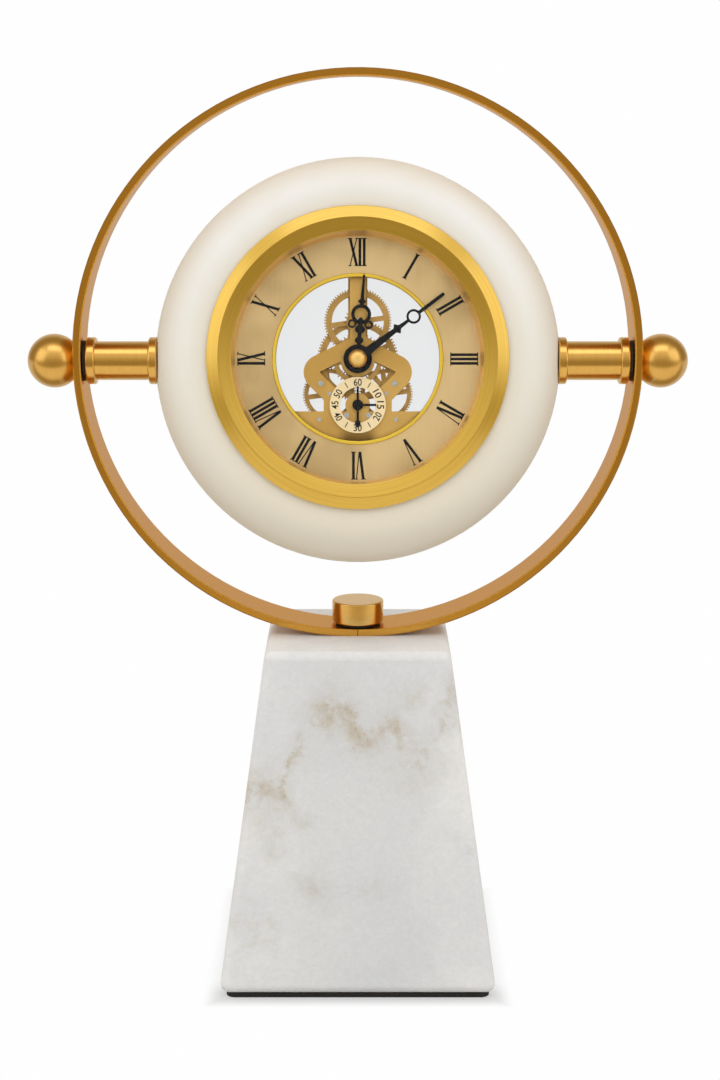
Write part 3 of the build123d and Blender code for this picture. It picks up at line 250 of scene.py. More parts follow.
def table_finish():
    """A white table that keeps the clock's shadow."""
    material, tree, shader = start_finish(
        "table_white", Base_Color=TABLE_GREY, Roughness=0.9, Specular_IOR_Level=0.1)
    axes = add_node(tree, "ShaderNodeSeparateXYZ", {0: object_place(tree)}).outputs
    reach = calculate(tree, "MAXIMUM", calculate(tree, "ABSOLUTE", axes["X"]),
                      calculate(tree, "ABSOLUTE", axes["Y"]))
    path = add_node(tree, "ShaderNodeLightPath").outputs
    seen = calculate(tree, "MAXIMUM", path["Is Camera Ray"], path["Is Transmission Ray"])
    seen = calculate(tree, "MAXIMUM", seen, path["Is Glossy Ray"])
    before = between(tree, axes["Y"], *SHADOW_FRONT, SHADOW_BEHIND, SHADOW_SHARE)
    shadow = calculate(tree, "MULTIPLY", before, between(tree, reach, *SHADOW_EDGE, 1.0, 0.0))
    share = calculate(tree, "SUBTRACT", 1.0, shadow)
    glow = table_glow(tree, axes, path)
    half = add_node(tree, "ShaderNodeMixShader", {0: share, 1: shader.outputs[0], 2: glow})
    both = add_node(tree, "ShaderNodeMixShader", {0: seen, 1: shader.outputs[0], 2: half.outputs[0]})
    tree.links.new(both.outputs[0], tree.nodes["Material Output"].inputs["Surface"])
    return material


table_mesh = bpy.data.meshes.new("table")
edge = TABLE_SIZE / 2
corners = [(-edge, -edge, 0.0), (edge, -edge, 0.0), (edge, edge, 0.0), (-edge, edge, 0.0)]
table_mesh.from_pydata(corners, [], [(0, 1, 2, 3)])
table_mesh.materials.append(table_finish())
table = add_object("table", table_mesh)
print("table", TABLE_SIZE, "m wide")


# %% Light the studio
ROOM_WHITE = (1.0, 0.99, 0.975, 1.0)
ROOM_LIT = (0.78, 0.69, 0.50, 1.0)
SIDES_LIT = (0.78, 0.68, 0.48, 1.0)
CEILING = (0.30, 0.22, 0.10, 1.0)
ROOM_SIDE = 0.66
ROOM_TOP = 1.12
ROOM_RISE = (-0.10, 0.70)
SIDES_START = (0.55, 0.85)
CEILING_START = (-0.30, 0.05)
BACK_START = (0.40, 0.95)
SOFTBOXES = [
    ("overhead", (0.0, -0.64, 1.48), 1.30, 0.55, 1.95),
    ("left_box", (-1.10, -0.66, 0.86), 1.05, 0.95, 1.55),
    ("right_box", (1.10, -0.66, 0.86), 1.05, 0.95, 1.45),
]


def light_world():
    """A room that is brighter above for plain surfaces, white to the eye, and a studio to metal."""
    world = bpy.data.worlds.new("studio")
    world.use_nodes = True
    tree = world.node_tree
    room = tree.nodes["Background"]
    direction = add_node(tree, "ShaderNodeTexCoord").outputs["Generated"]
    axes = add_node(tree, "ShaderNodeSeparateXYZ", {0: direction}).outputs
    path = add_node(tree, "ShaderNodeLightPath").outputs
    metal = mix_colours(tree, between(tree, axes["Z"], *ROOM_RISE), ROOM_DARK, ROOM_LIT)
    sideways = between(tree, calculate(tree, "ABSOLUTE", axes["X"]), *SIDES_START)
    metal = mix_colours(tree, sideways, metal, SIDES_LIT)
    metal = mix_colours(tree, between(tree, axes["Y"], *CEILING_START), metal, CEILING)
    metal = mix_colours(tree, between(tree, axes["Y"], *BACK_START), metal, BACK_WALL)
    mirrored = path["Is Glossy Ray"]
    tree.links.new(mix_colours(tree, mirrored, ROOM_WHITE, metal), room.inputs["Color"])
    plain = between(tree, axes["Z"], 0.0, 1.0, ROOM_SIDE, ROOM_TOP)
    level = add_node(tree, "ShaderNodeMix", {0: mirrored, 2: plain, 3: 1.0}, data_type="FLOAT").outputs[0]
    tree.links.new(level, room.inputs["Strength"])
    white = add_node(tree, "ShaderNodeBackground", {"Color": WHITE, "Strength": 1.0})
    seen = calculate(tree, "MAXIMUM", path["Is Camera Ray"], path["Is Transmission Ray"])
    both = add_node(tree, "ShaderNodeMixShader", {0: seen, 1: room.outputs[0], 2: white.outputs[0]})
    tree.links.new(both.outputs[0], tree.nodes["World Output"].inputs["Surface"])
    bpy.context.scene.world = world


def add_softbox(name, place, width, height, watts):
    """A rectangular lamp at a place, turned to the middle of the clock."""
    lamp = bpy.data.lights.new(name, "AREA")
    lamp.shape = "RECTANGLE"
    lamp.size = width
    lamp.size_y = height
    lamp.energy = watts
    box = add_object(name, lamp)
    box.location = place
    box.rotation_euler = (Vector((0.0, 0.0, PIVOT.z)) - Vector(place)).to_track_quat("-Z", "Y").to_euler()


light_world()
for softbox in SOFTBOXES:
    add_softbox(*softbox)
print("world and", len(SOFTBOXES), "softboxes")

# %% [markdown]
# ## White marble
# The base is a polished block of white marble: a milky ground with slow grey clouds, fine crystals, and
# one main vein, a broken arch of tan smudges across its upper half, with a few loose marks beside it. The
# vein's way is a curve of height over width, drawn with a few points; slow noise bends it, so that it
# wanders, and patches of noise break it up. Towards the back the vein sinks, so it slants on the sides. The
# rest is solid noise in object coordinates, so a mark that reaches an edge goes on round the corner, as it
# does in real stone.

# %% The vein's way
BASE_LOW, BASE_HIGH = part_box("marble_base")
BASE_TALL = BASE_HIGH.z - BASE_LOW.z
VEIN_SPAN = 65.0 * MM
VEIN_POINTS = [(-65, 80), (-47, 88), (-32, 89), (-28, 102), (-17, 128), (-11, 130), (6, 117), (16, 120)]
VEIN_POINTS += [(25, 106), (34, 112), (43, 134), (65, 140)]
MARKS = [(-39, 66, 12), (-17, 44, 16), (-27, 80, 12), (-45, 99, 11)]
MARKS += [(26, 135, 10), (25, 103, 20), (42, 122, 12)]
BEND_DETAIL = 5.0


def bend_place(tree, place, scale, reach):
    """A place that slow noise pushes about by up to a given reach."""
    sockets = {"Vector": place, "Scale": scale, "Detail": BEND_DETAIL}
    drift = add_node(tree, "ShaderNodeTexNoise", sockets).outputs["Color"]
    middle = add_node(tree, "ShaderNodeVectorMath", {0: drift, 1: (0.5, 0.5, 0.5)}, operation="SUBTRACT")
    push = add_node(tree, "ShaderNodeVectorMath", {0: middle.outputs[0], "Scale": reach}, operation="SCALE")
    bent = add_node(tree, "ShaderNodeVectorMath", {0: place, 1: push.outputs[0]}, operation="ADD")
    return bent.outputs[0]


def vein_height(tree, x):
    """The height of the main vein over a place from left to right."""
    across = between(tree, x, -VEIN_SPAN, VEIN_SPAN)
    across.node.interpolation_type = "LINEAR"
    curve = add_node(tree, "ShaderNodeFloatCurve", {"Factor": 1.0, "Value": across})
    line = curve.mapping.curves[0]
    shares = []
    for right, up in VEIN_POINTS:
        shares.append(((right * MM + VEIN_SPAN) / (2 * VEIN_SPAN), up * MM / BASE_TALL))
    line.points[0].location = shares[0]
    line.points[1].location = shares[-1]
    for share in shares[1:-1]:
        line.points.new(*share)
    curve.mapping.update()
    return calculate(tree, "MULTIPLY_ADD", curve.outputs[0], BASE_TALL, BASE_LOW.z)


def loose_marks(tree, x, level):
    """Soft marks beside the vein, each given as right, up and size in millimetres."""
    marks = 0.0
    for right, up, size in MARKS:
        aside = calculate(tree, "SUBTRACT", x, right * MM)
        above = calculate(tree, "SUBTRACT", level, BASE_LOW.z + up * MM)
        mark = between(tree, distance(tree, aside, above), 0.0, size * MM, 1.0, 0.0)
        marks = calculate(tree, "MAXIMUM", marks, mark)
    return marks


print("vein of", len(VEIN_POINTS), "points and", len(MARKS), "loose marks")


# %% Marble finish
FRONT_Y = -48.0 * MM
VEIN_FALL = 0.45
VEIN_BEND = 22.0 * MM
STAIN_WIDE = 9.0 * MM
SMUDGE_WIDE = 18.0 * MM
HAZE_NEAR = 2.0 * MM
HAZE_WIDE = 30.0 * MM
MARK_SHARE = 0.7
CORE_NEAR = 15.0 * MM
CORE_WIDE = 50.0 * MM
THREAD_BEND = 4.0 * MM
MARBLE_GLOW = 3.0 * MM
MARBLE_PALE = screen_colour(246, 244, 241)
MARBLE_GREY = screen_colour(233, 233, 233)
MARBLE_TONES = {
    "core": (0.55, (221, 222, 223)),
    "haze": (0.38, (219, 217, 213)),
    "spots": (0.50, (214, 201, 177)),
    "smudge": (0.62, (212, 204, 188)),
    "stain": (0.36, (188, 165, 126)),
    "specks": (0.65, (186, 158, 110)),
}


def marble_masks(tree, place, bent):
    """Where each of the marble's tones lies."""
    axes = add_node(tree, "ShaderNodeSeparateXYZ", {0: bent}).outputs
    behind = calculate(tree, "SUBTRACT", axes["Y"], FRONT_Y)
    level = calculate(tree, "MULTIPLY_ADD", behind, VEIN_FALL, axes["Z"])
    off = calculate(tree, "ABSOLUTE", calculate(tree, "SUBTRACT", level, vein_height(tree, axes["X"])))
    patches = between(tree, noise(tree, place, 95.0, 7.0, 0.72), 0.38, 0.64)
    marks = loose_marks(tree, axes["X"], level)
    broken_marks = calculate(tree, "MULTIPLY", marks, calculate(tree, "MULTIPLY", patches, MARK_SHARE))
    smudge = calculate(tree, "MULTIPLY", between(tree, off, 0.0, SMUDGE_WIDE, 1.0, 0.0), patches)
    smudge = calculate(tree, "MAXIMUM", smudge, broken_marks)
    specks = between(tree, noise(tree, place, 520.0, 4.0, 0.7), 0.54, 0.70)
    return {
        "core": between(tree, calculate(tree, "ABSOLUTE", axes["X"]), CORE_NEAR, CORE_WIDE, 1.0, 0.0),
        "haze": calculate(tree, "MAXIMUM", between(tree, off, HAZE_NEAR, HAZE_WIDE, 1.0, 0.0), marks),
        "spots": between(tree, noise(tree, bent, 30.0, 6.0, 0.7), 0.60, 0.78),
        "smudge": smudge,
        "stain": calculate(tree, "MULTIPLY", between(tree, off, 0.0, STAIN_WIDE, 1.0, 0.0), patches),
        "specks": calculate(tree, "MULTIPLY", specks, smudge),
    }


def marble_grain(tree, place):
    """A grey close to white, from crystals and fine threads."""
    crystal = add_node(tree, "ShaderNodeTexVoronoi", {"Vector": place, "Scale": 900.0}).outputs["Color"]
    crystal = add_node(tree, "ShaderNodeSeparateColor", {0: crystal}).outputs["Red"]
    thread = noise(tree, bend_place(tree, place, 400.0, THREAD_BEND), 420.0, 6.0, 0.75)
    grain = calculate(tree, "ADD", between(tree, crystal, 0.0, 1.0, -0.010, 0.010),
                      between(tree, thread, 0.3, 0.7, 0.940, 1.005))
    return add_node(tree, "ShaderNodeCombineColor", {0: grain, 1: grain, 2: grain}).outputs[0]


def marble_finish():
    """White marble with clouds, a broken vein, loose marks, fine threads and crystals."""
    material, tree, shader = start_finish(
        "marble", Roughness=0.26, IOR=1.15, Subsurface_Weight=0.25,
        Subsurface_Radius=(1.0, 0.95, 0.9), Subsurface_Scale=MARBLE_GLOW)
    place = object_place(tree)
    bent = bend_place(tree, place, 75.0, VEIN_BEND)
    masks = marble_masks(tree, place, bent)
    cloud = between(tree, noise(tree, bent, 16.0, 5.0, 0.6), 0.36, 0.64)
    colour = mix_colours(tree, cloud, MARBLE_PALE, MARBLE_GREY)
    for tone, (share, shade) in MARBLE_TONES.items():
        factor = calculate(tree, "MULTIPLY", masks[tone], share)
        colour = mix_colours(tree, factor, colour, screen_colour(*shade))
    colour = mix_colours(tree, 1.0, colour, marble_grain(tree, place), "MULTIPLY")
    tree.links.new(colour, shader.inputs["Base Color"])
    press_bump(tree, shader, noise(tree, place, 120.0, 2.0), 0.02 * MM, 0.10)
    return material


MARBLE = marble_finish()
print("made", MARBLE.name)

# %% [markdown]
# ## Pale alabaster
# The disc is a creamy stone that lets light into it a little way, so its shoulders look soft and its
# shadow side stays warm. Subsurface scattering gives that softness, and a slow cloud of colour keeps it
# from looking like plastic. Light and shade are also painted into its colour: a warm painted reflection
# of the brass near the bezel, painted warm shade round the edge, and painted shade low down.

# %% Alabaster finish
STONE_PALE = screen_colour(252, 250, 245)
STONE_CLOUD = screen_colour(248, 245, 238)
# painted light: a darker, warmer tone for the shade low down, and a warm tone for the brass's reflection and the
# rim's shade
STONE_SHADED_LOW = screen_colour(241, 232, 213)
STONE_PAINTED_WARM = screen_colour(240, 230, 208)
STONE_GLOW = 5.0 * MM
SHADE_LOW_SPAN = (70.0 * MM, -85.0 * MM)
BRASS_REFLECTION_REACH = (64.0 * MM, 78.0 * MM)
RIM_SHADE_REACH = (76.0 * MM, 90.0 * MM)
PAINTED_WARM_SHARE = 0.5


def face_place(tree):
    """The point of the surface in the face's coordinates: right, up and towards the reader."""
    mapping = add_node(tree, "ShaderNodeMapping", {"Vector": object_place(tree)}, vector_type="TEXTURE")
    mapping.inputs["Location"].default_value = PIVOT
    mapping.inputs["Rotation"].default_value = FACE.to_euler()
    return mapping.outputs[0]


def alabaster_finish():
    """Cream stone with soft clouds, a painted reflection of the brass, and painted shade at the rim and low down.
    """
    material, tree, shader = start_finish(
        "alabaster", Roughness=0.38, IOR=1.25, Subsurface_Weight=0.4,
        Subsurface_Radius=(1.0, 1.0, 0.9), Subsurface_Scale=STONE_GLOW)
    local = face_place(tree)
    axes = add_node(tree, "ShaderNodeSeparateXYZ", {0: local}).outputs
    reach = distance(tree, axes["X"], axes["Y"])
    # painted warm reflection of the brass near the bezel, and painted warm shade round the rim
    painted_warm = calculate(tree, "MAXIMUM", between(tree, reach, *BRASS_REFLECTION_REACH, 1.0, 0.0),
                     between(tree, reach, *RIM_SHADE_REACH))
    cloud = between(tree, noise(tree, local, 22.0, 4.0, 0.5, 0.6), 0.35, 0.70)
    colour = mix_colours(tree, cloud, STONE_PALE, STONE_CLOUD)
    # painted shade: darker and warmer low down
    colour = mix_colours(tree, between(tree, axes["Y"], *SHADE_LOW_SPAN), colour, STONE_SHADED_LOW)
    colour = mix_colours(tree, calculate(tree, "MULTIPLY", painted_warm, PAINTED_WARM_SHARE), colour, STONE_PAINTED_WARM)
    tree.links.new(colour, shader.inputs["Base Color"])
    press_bump(tree, shader, noise(tree, local, 300.0, 3.0), 0.04 * MM, 0.15)
    return material


ALABASTER = alabaster_finish()
print("made", ALABASTER.name)

# %% [markdown]
# ## Spun and satin brass
# All the showy brass was turned on a lathe or drawn along its length, and that leaves fine lines that
# follow the turning. Noise that is stretched round an axis gives those lines: the pattern uses the
# distance from the axis and the height along it at a fine scale, and the direction round it at a coarse
# one. Over the metal lies a coat of lacquer, which on the bezel and the balls is clearer than the metal
# under it. The same function serves every ring, ball, spindle and nut and the hoop, each with its own
# axis.

# %% Turning lines and lacquer
LINE_DEPTH = 0.003 * MM
AXIS_NEAR = 0.1 * MM
LACQUER_IOR = 1.5


def turned_streaks(tree, middle, axis, fine, slow=1.2):
    """Noise drawn out round an axis through a point."""
    mapping = add_node(tree, "ShaderNodeMapping", {"Vector": object_place(tree)}, vector_type="TEXTURE")
    mapping.inputs["Location"].default_value = middle
    mapping.inputs["Rotation"].default_value = Vector(axis).to_track_quat("Z", "Y").to_euler()
    axes = add_node(tree, "ShaderNodeSeparateXYZ", {0: mapping.outputs[0]}).outputs
    reach = calculate(tree, "MAXIMUM", distance(tree, axes["X"], axes["Y"]), AXIS_NEAR)
    round_x = calculate(tree, "MULTIPLY", calculate(tree, "DIVIDE", axes["X"], reach), slow)
    round_y = calculate(tree, "MULTIPLY", calculate(tree, "DIVIDE", axes["Y"], reach), slow)
    vector = add_node(tree, "ShaderNodeCombineXYZ", {
        0: calculate(tree, "MULTIPLY", reach, fine),
        1: calculate(tree, "MULTIPLY", axes["Z"], fine),
        2: round_x,
    }).outputs[0]
    sockets = {"Vector": vector, "W": round_y, "Scale": 1.0, "Detail": 3.0, "Roughness": 0.6}
    return add_node(tree, "ShaderNodeTexNoise", sockets, noise_dimensions="4D").outputs["Fac"]


def towards_white(colour, share):
    """A colour taken towards white by a share."""
    return tuple(part + (1.0 - part) * share for part in colour)


def brass_finish(name, colour, shade, roughness, middle, axis, fine=600.0, relief=0.02, coat=1.0, clear=None):
    """Metal with turning lines round an axis, a little darker in its lines, under a coat of lacquer."""
    material, tree, shader = start_finish(
        name, Metallic=1.0, Specular_Tint=towards_white(colour, coat), Coat_Weight=coat,
        Coat_IOR=LACQUER_IOR, Coat_Roughness=clear or roughness)
    streaks = turned_streaks(tree, middle, axis, fine)
    tone = between(tree, streaks, 0.30, 0.70)
    tree.links.new(mix_colours(tree, tone, shade, colour), shader.inputs["Base Color"])
    spread = between(tree, streaks, 0.25, 0.75, roughness * 1.04, roughness * 0.96)
    tree.links.new(spread, shader.inputs["Roughness"])
    press_bump(tree, shader, streaks, LINE_DEPTH, relief)
    return material


print("lines", LINE_DEPTH / MM, "mm deep")


# %% The brasses
GOLD = screen_colour(241, 205, 98)
GOLD_SHADE = screen_colour(231, 192, 84)
RIM_GOLD = screen_colour(226, 190, 42)
RIM_SHADE = screen_colour(216, 178, 34)
PALE_GOLD = screen_colour(250, 220, 156)
AMBER = screen_colour(238, 192, 104)
AMBER_SHADE = screen_colour(233, 186, 97)
HOOP_AMBER = screen_colour(230, 172, 70)
HOOP_SHADE = screen_colour(227, 169, 67)
CLEAR_COAT = 0.16
HOOP_LOW, HOOP_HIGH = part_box("hoop")
HOOP_MIDDLE = (HOOP_LOW + HOOP_HIGH) / 2
HOOP_MIDDLE.z = HOOP_HIGH.z - half_width("hoop")
CAP_MIDDLE = (0.0, 0.0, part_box("cap_nut")[1].z)
TILT_AXIS = (1.0, 0.0, 0.0)
ACROSS = (0.0, 1.0, 0.0)
UPRIGHT = (0.0, 0.0, 1.0)

BEZEL_GOLD = brass_finish(
    "bezel_gold", GOLD, GOLD_SHADE, 0.30, PIVOT, FACE_NORMAL, 2200.0, 0.06, clear=CLEAR_COAT)
RIM_BRASS = brass_finish("rim_brass", RIM_GOLD, RIM_SHADE, 0.18, PIVOT, FACE_NORMAL)
REHAUT_BRASS = brass_finish("rehaut_brass", PALE_GOLD, AMBER, 0.50, PIVOT, FACE_NORMAL)
NUT_BRASS = brass_finish("nut_brass", AMBER, AMBER_SHADE, 0.38, PIVOT, FACE_NORMAL)
HOOP_BRASS = brass_finish("hoop_brass", HOOP_AMBER, HOOP_SHADE, 0.26, HOOP_MIDDLE, ACROSS, 900.0, 0.01, 0.5)
SPINDLE_BRASS = brass_finish("spindle_brass", AMBER, AMBER_SHADE, 0.20, PIVOT, TILT_AXIS)
BALL_BRASS = brass_finish("ball_brass", AMBER, AMBER_SHADE, 0.28, PIVOT, TILT_AXIS, clear=CLEAR_COAT)
CAP_BRASS = brass_finish("cap_brass", AMBER, AMBER_SHADE, 0.20, CAP_MIDDLE, UPRIGHT)
print("made eight turned brasses")

# %% [markdown]
# ## Dial, plates and wheels
# The dial ring is champagne metal with a satin, almost cloudy sheen. The skeleton plates and the wheels
# behind it are stamped brass that was tumbled, so they are duller, with fine straight grain. Below the
# seconds dial, shade is painted into the front plate's colour, in the nook that the dial keeps light from.

# %% Sheet brass finishes
SECONDS_PLACE = FACE.inverted() @ Vector(joints["seconds_turn"]["pos_m"])
# painted shade below the seconds dial: its place, its strength and its brown
NOOK_TOP = 9.0 * MM
NOOK_FOOT = 15.0 * MM
NOOK_HALF = 10.5 * MM
NOOK_CORE = 0.4 * NOOK_HALF
NOOK_SHADE_SHARE = 0.85
NOOK_SHADE_BROWN = screen_colour(92, 66, 26)
LINES_SHARE = 0.35
PATCH_SHARE = 0.65


def paint_nook_shade(tree, local, colour):
    """Paints shade into the plate below the seconds dial, in the nook that little light reaches."""
    axes = add_node(tree, "ShaderNodeSeparateXYZ", {0: local}).outputs
    aside = between(tree, calculate(tree, "ABSOLUTE", axes["X"]), NOOK_CORE, NOOK_HALF, 1.0, 0.0)
    below = between(tree, axes["Y"], SECONDS_PLACE.y - NOOK_TOP, SECONDS_PLACE.y - NOOK_FOOT)
    share = calculate(tree, "MULTIPLY", calculate(tree, "MULTIPLY", aside, below), NOOK_SHADE_SHARE)
    return mix_colours(tree, share, colour, NOOK_SHADE_BROWN)


def sheet_brass_finish(name, light, dark, roughness, grain, depth=0.02 * MM, nook_shade=False):
    """Sheet metal with a straight, fine grain and slow patches of tone, and if asked, painted shade below the
    seconds dial.
    """
    material, tree, shader = start_finish(name, Metallic=1.0)
    local = face_place(tree)
    stretched = add_node(tree, "ShaderNodeMapping", {"Vector": local, "Scale": (grain, grain / 40, grain)})
    lines = noise(tree, stretched.outputs[0], 1.0, 3.0, 0.6)
    patch = between(tree, noise(tree, local, 34.0, 2.0), 0.36, 0.64)
    patch = calculate(tree, "MULTIPLY", patch, PATCH_SHARE)
    tone = calculate(tree, "MULTIPLY_ADD", lines, LINES_SHARE, patch)
    colour = mix_colours(tree, tone, dark, light)
    # painted shade below the seconds dial
    if nook_shade:
        colour = paint_nook_shade(tree, local, colour)
    tree.links.new(colour, shader.inputs["Base Color"])
    spread = between(tree, lines, 0.3, 0.7, roughness * 1.1, roughness * 0.9)
    tree.links.new(spread, shader.inputs["Roughness"])
    press_bump(tree, shader, lines, depth, 0.25)
    return material


DIAL_CHAMPAGNE = sheet_brass_finish(
    "dial_champagne", screen_colour(220, 189, 136), screen_colour(186, 157, 108), 0.42, 2600.0)
SECONDS_CHAMPAGNE = sheet_brass_finish(
    "seconds_champagne", screen_colour(242, 220, 176), screen_colour(236, 212, 166), 0.50, 2600.0)
PLATE_BRASS = sheet_brass_finish(
    "plate_brass", screen_colour(206, 165, 93), screen_colour(188, 146, 75), 0.40, 1500.0, nook_shade=True)
WHEEL_BRASS = sheet_brass_finish(
    "wheel_brass", screen_colour(190, 150, 86), screen_colour(168, 130, 72), 0.42, 1500.0)
print("made dial, plate and wheel finishes")

# %% [markdown]
# ## Paint, steel, rubber and the small parts inside
# These are small in view, but each still gets its own grain: orange peel in the black paint, mottled
# tone on steel, a pebbled skin on rubber and moulded plastic, and a fine ripple on the coil.

# %% Plain finishes
def grained_finish(name, light, dark, roughness, scale, depth, metallic=0.0):
    """A surface with mottled tone, and a pebbled bump of one scale."""
    material, tree, shader = start_finish(name, Metallic=metallic)
    place = object_place(tree)
    grain = noise(tree, place, scale, 4.0, 0.6)
    tone = between(tree, grain, 0.3, 0.7)
    tree.links.new(mix_colours(tree, tone, dark, light), shader.inputs["Base Color"])
    spread = between(tree, grain, 0.3, 0.7, roughness * 1.1, roughness * 0.9)
    tree.links.new(spread, shader.inputs["Roughness"])
    press_bump(tree, shader, grain, depth, 0.3)
    return material


PLAIN_FINISHES = {}
for name, light, dark, roughness, scale, depth, metallic in (
    ("black_paint", (12, 12, 13), (8, 8, 9), 0.45, 1800.0, 0.00001, 0.0),
    ("steel", (188, 187, 183), (160, 160, 157), 0.34, 900.0, 0.00001, 1.0),
    ("dark_washer", (46, 40, 34), (34, 30, 26), 0.55, 1500.0, 0.00002, 0.0),
    ("pad_rubber", (34, 33, 33), (26, 26, 26), 0.75, 1200.0, 0.00006, 0.0),
    ("housing_plastic", (44, 44, 46), (36, 36, 38), 0.45, 1600.0, 0.00003, 0.0),
    ("board", (36, 92, 58), (28, 78, 48), 0.50, 700.0, 0.00002, 0.0),
    ("copper_wire", (206, 122, 76), (172, 92, 52), 0.35, 2600.0, 0.00005, 1.0),
    ("cell_wrap", (196, 158, 92), (188, 150, 84), 0.32, 500.0, 0.00001, 0.0),
    ("magnet", (92, 90, 92), (76, 76, 78), 0.40, 900.0, 0.00002, 0.6),
    ("bush_plastic", (228, 222, 210), (218, 212, 200), 0.45, 900.0, 0.00002, 0.0),
):
    PLAIN_FINISHES[name] = grained_finish(
        name, screen_colour(*light), screen_colour(*dark), roughness, scale, depth, metallic)
black_shader = PLAIN_FINISHES["black_paint"].node_tree.nodes["Principled BSDF"]
black_shader.inputs["Specular IOR Level"].default_value = 0.2
print("made", len(PLAIN_FINISHES), "plain finishes")

# %% [markdown]
# ## Glass that lets light through
# A light path test makes the pane plain and clear for shadow rays and lets the eye see proper glass.

# %% Clear finishes
def clear_finish(name, tint, roughness, ior):
    """A clear material that is see-through to shadow rays."""
    material, tree, shader = start_finish(
        name, Base_Color=tint, Roughness=roughness, IOR=ior, Transmission_Weight=1.0)
    clear = add_node(tree, "ShaderNodeBsdfTransparent", {"Color": tint})
    path = add_node(tree, "ShaderNodeLightPath").outputs
    light = calculate(tree, "MAXIMUM", path["Is Shadow Ray"], path["Is Diffuse Ray"])
    both = add_node(tree, "ShaderNodeMixShader", {0: light, 1: shader.outputs[0], 2: clear.outputs[0]})
    tree.links.new(both.outputs[0], tree.nodes["Material Output"].inputs["Surface"])
    return material


FRONT_GLASS = clear_finish("front_glass", (0.985, 0.99, 0.985, 1.0), 0.0, 1.12)
CLEAR_PLASTIC = clear_finish("clear_plastic", (0.825, 0.83, 0.84, 1.0), 0.03, 1.20)
print("made two clear finishes")

# %% [markdown]
# ## Giving each part its finish
# The record lists the material slot of every part, and most slots map straight to one finish. Parts that
# were turned on their own axis are named apart, because their lines have to follow that axis, and so is
# the seconds dial, which is paler than the dial ring.

# %% Dress the parts
SLOT_FINISHES = {
    **PLAIN_FINISHES,
    "marble": MARBLE,
    "disc_stone": ALABASTER,
    "satin_brass": HOOP_BRASS,
    "polished_brass": BEZEL_GOLD,
    "movement_brass": PLATE_BRASS,
    "wheel_brass": WHEEL_BRASS,
    "dial": DIAL_CHAMPAGNE,
    "glass": FRONT_GLASS,
    "clear_plastic": CLEAR_PLASTIC,
}
OWN_FINISHES = {"cap_nut": CAP_BRASS, "rehaut": REHAUT_BRASS, "hand_nut": NUT_BRASS}
OWN_FINISHES["seconds_dial"] = SECONDS_CHAMPAGNE
for side in ("left", "right"):
    OWN_FINISHES[side + "_finial"] = BALL_BRASS
    OWN_FINISHES[side + "_spindle"] = SPINDLE_BRASS
for part in frame["record"]["subparts"]:
    name = part["node"]
    finish = OWN_FINISHES.get(name, SLOT_FINISHES[part["material_slot"]])
    nodes[name].data.materials.clear()
    nodes[name].data.materials.append(finish)
print("dressed", len(nodes), "parts")

# %% [markdown]
# ## Turning rings
# The bezel and the rim of the dial's opening are turned rings. On a lathe a ring is one profile swept once
# round the axis, and a Geometry Nodes tree can do just that: the profile comes in as a loop of edges, and
# Curve to Mesh sweeps it along a circle. The profile's corners are rounded first, because no turned edge
# is razor sharp, and the small rounds catch the thin bright lines that make metal look like metal.

# %% A node tree that turns a profile
def start_tree(name, inputs):
    """A new geometry tree with named inputs and one output, and its input and output nodes."""
    tree = bpy.data.node_groups.new(name, "GeometryNodeTree")
    for title, kind in inputs:
        tree.interface.new_socket(title, in_out="INPUT", socket_type=kind)
    tree.interface.new_socket("Piece", in_out="OUTPUT", socket_type="NodeSocketGeometry")
    return tree, add_node(tree, "NodeGroupInput").outputs, add_node(tree, "NodeGroupOutput").inputs


def end_tree(tree, shape, finish, piece):
    """Ends a tree with real faces and a finish."""
    real = add_node(tree, "GeometryNodeRealizeInstances", {0: shape}).outputs[0]
    dressed = add_node(tree, "GeometryNodeSetMaterial", {"Geometry": real, "Material": finish}).outputs[0]
    tree.links.new(dressed, piece)


def turning_tree():
    """A tree that sweeps a profile round the face's axis."""
    inputs = [("Profile", "NodeSocketGeometry"), ("Path Radius", "NodeSocketFloat")]
    inputs += [("Segments", "NodeSocketInt"), ("Finish", "NodeSocketMaterial")]
    tree, given, made = start_tree("turned_ring", inputs)
    circle = add_node(tree, "GeometryNodeCurvePrimitiveCircle",
                      {"Radius": given["Path Radius"], "Resolution": given["Segments"]})
    loop = add_node(tree, "GeometryNodeMeshToCurve", {"Mesh": given["Profile"]})
    ring = add_node(tree, "GeometryNodeCurveToMesh",
                    {"Curve": circle.outputs["Curve"], "Profile Curve": loop.outputs["Curve"]})
    smooth = add_node(tree, "GeometryNodeSetShadeSmooth", {"Geometry": ring.outputs["Mesh"]})
    end_tree(tree, smooth.outputs[0], given["Finish"], made["Piece"])
    return tree


def run_tree(name, tree, values, start, place):
    """Runs a tree on a start mesh and leaves a plain mesh in the world, with its place in its points."""
    worker = add_object(name + "_worker", start)
    modifier = worker.modifiers.new("nodes", "NODES")
    modifier.node_group = tree
    for item in tree.interface.items_tree:
        if item.name in values:
            modifier[item.identifier] = values[item.name]
    shown = worker.evaluated_get(bpy.context.evaluated_depsgraph_get())
    data = bpy.data.meshes.new_from_object(shown)
    bpy.data.objects.remove(worker)
    data.transform(place)
    data.name = name
    return add_object(name, data)


TURNING = turning_tree()
print("turning tree has", len(TURNING.nodes), "nodes")


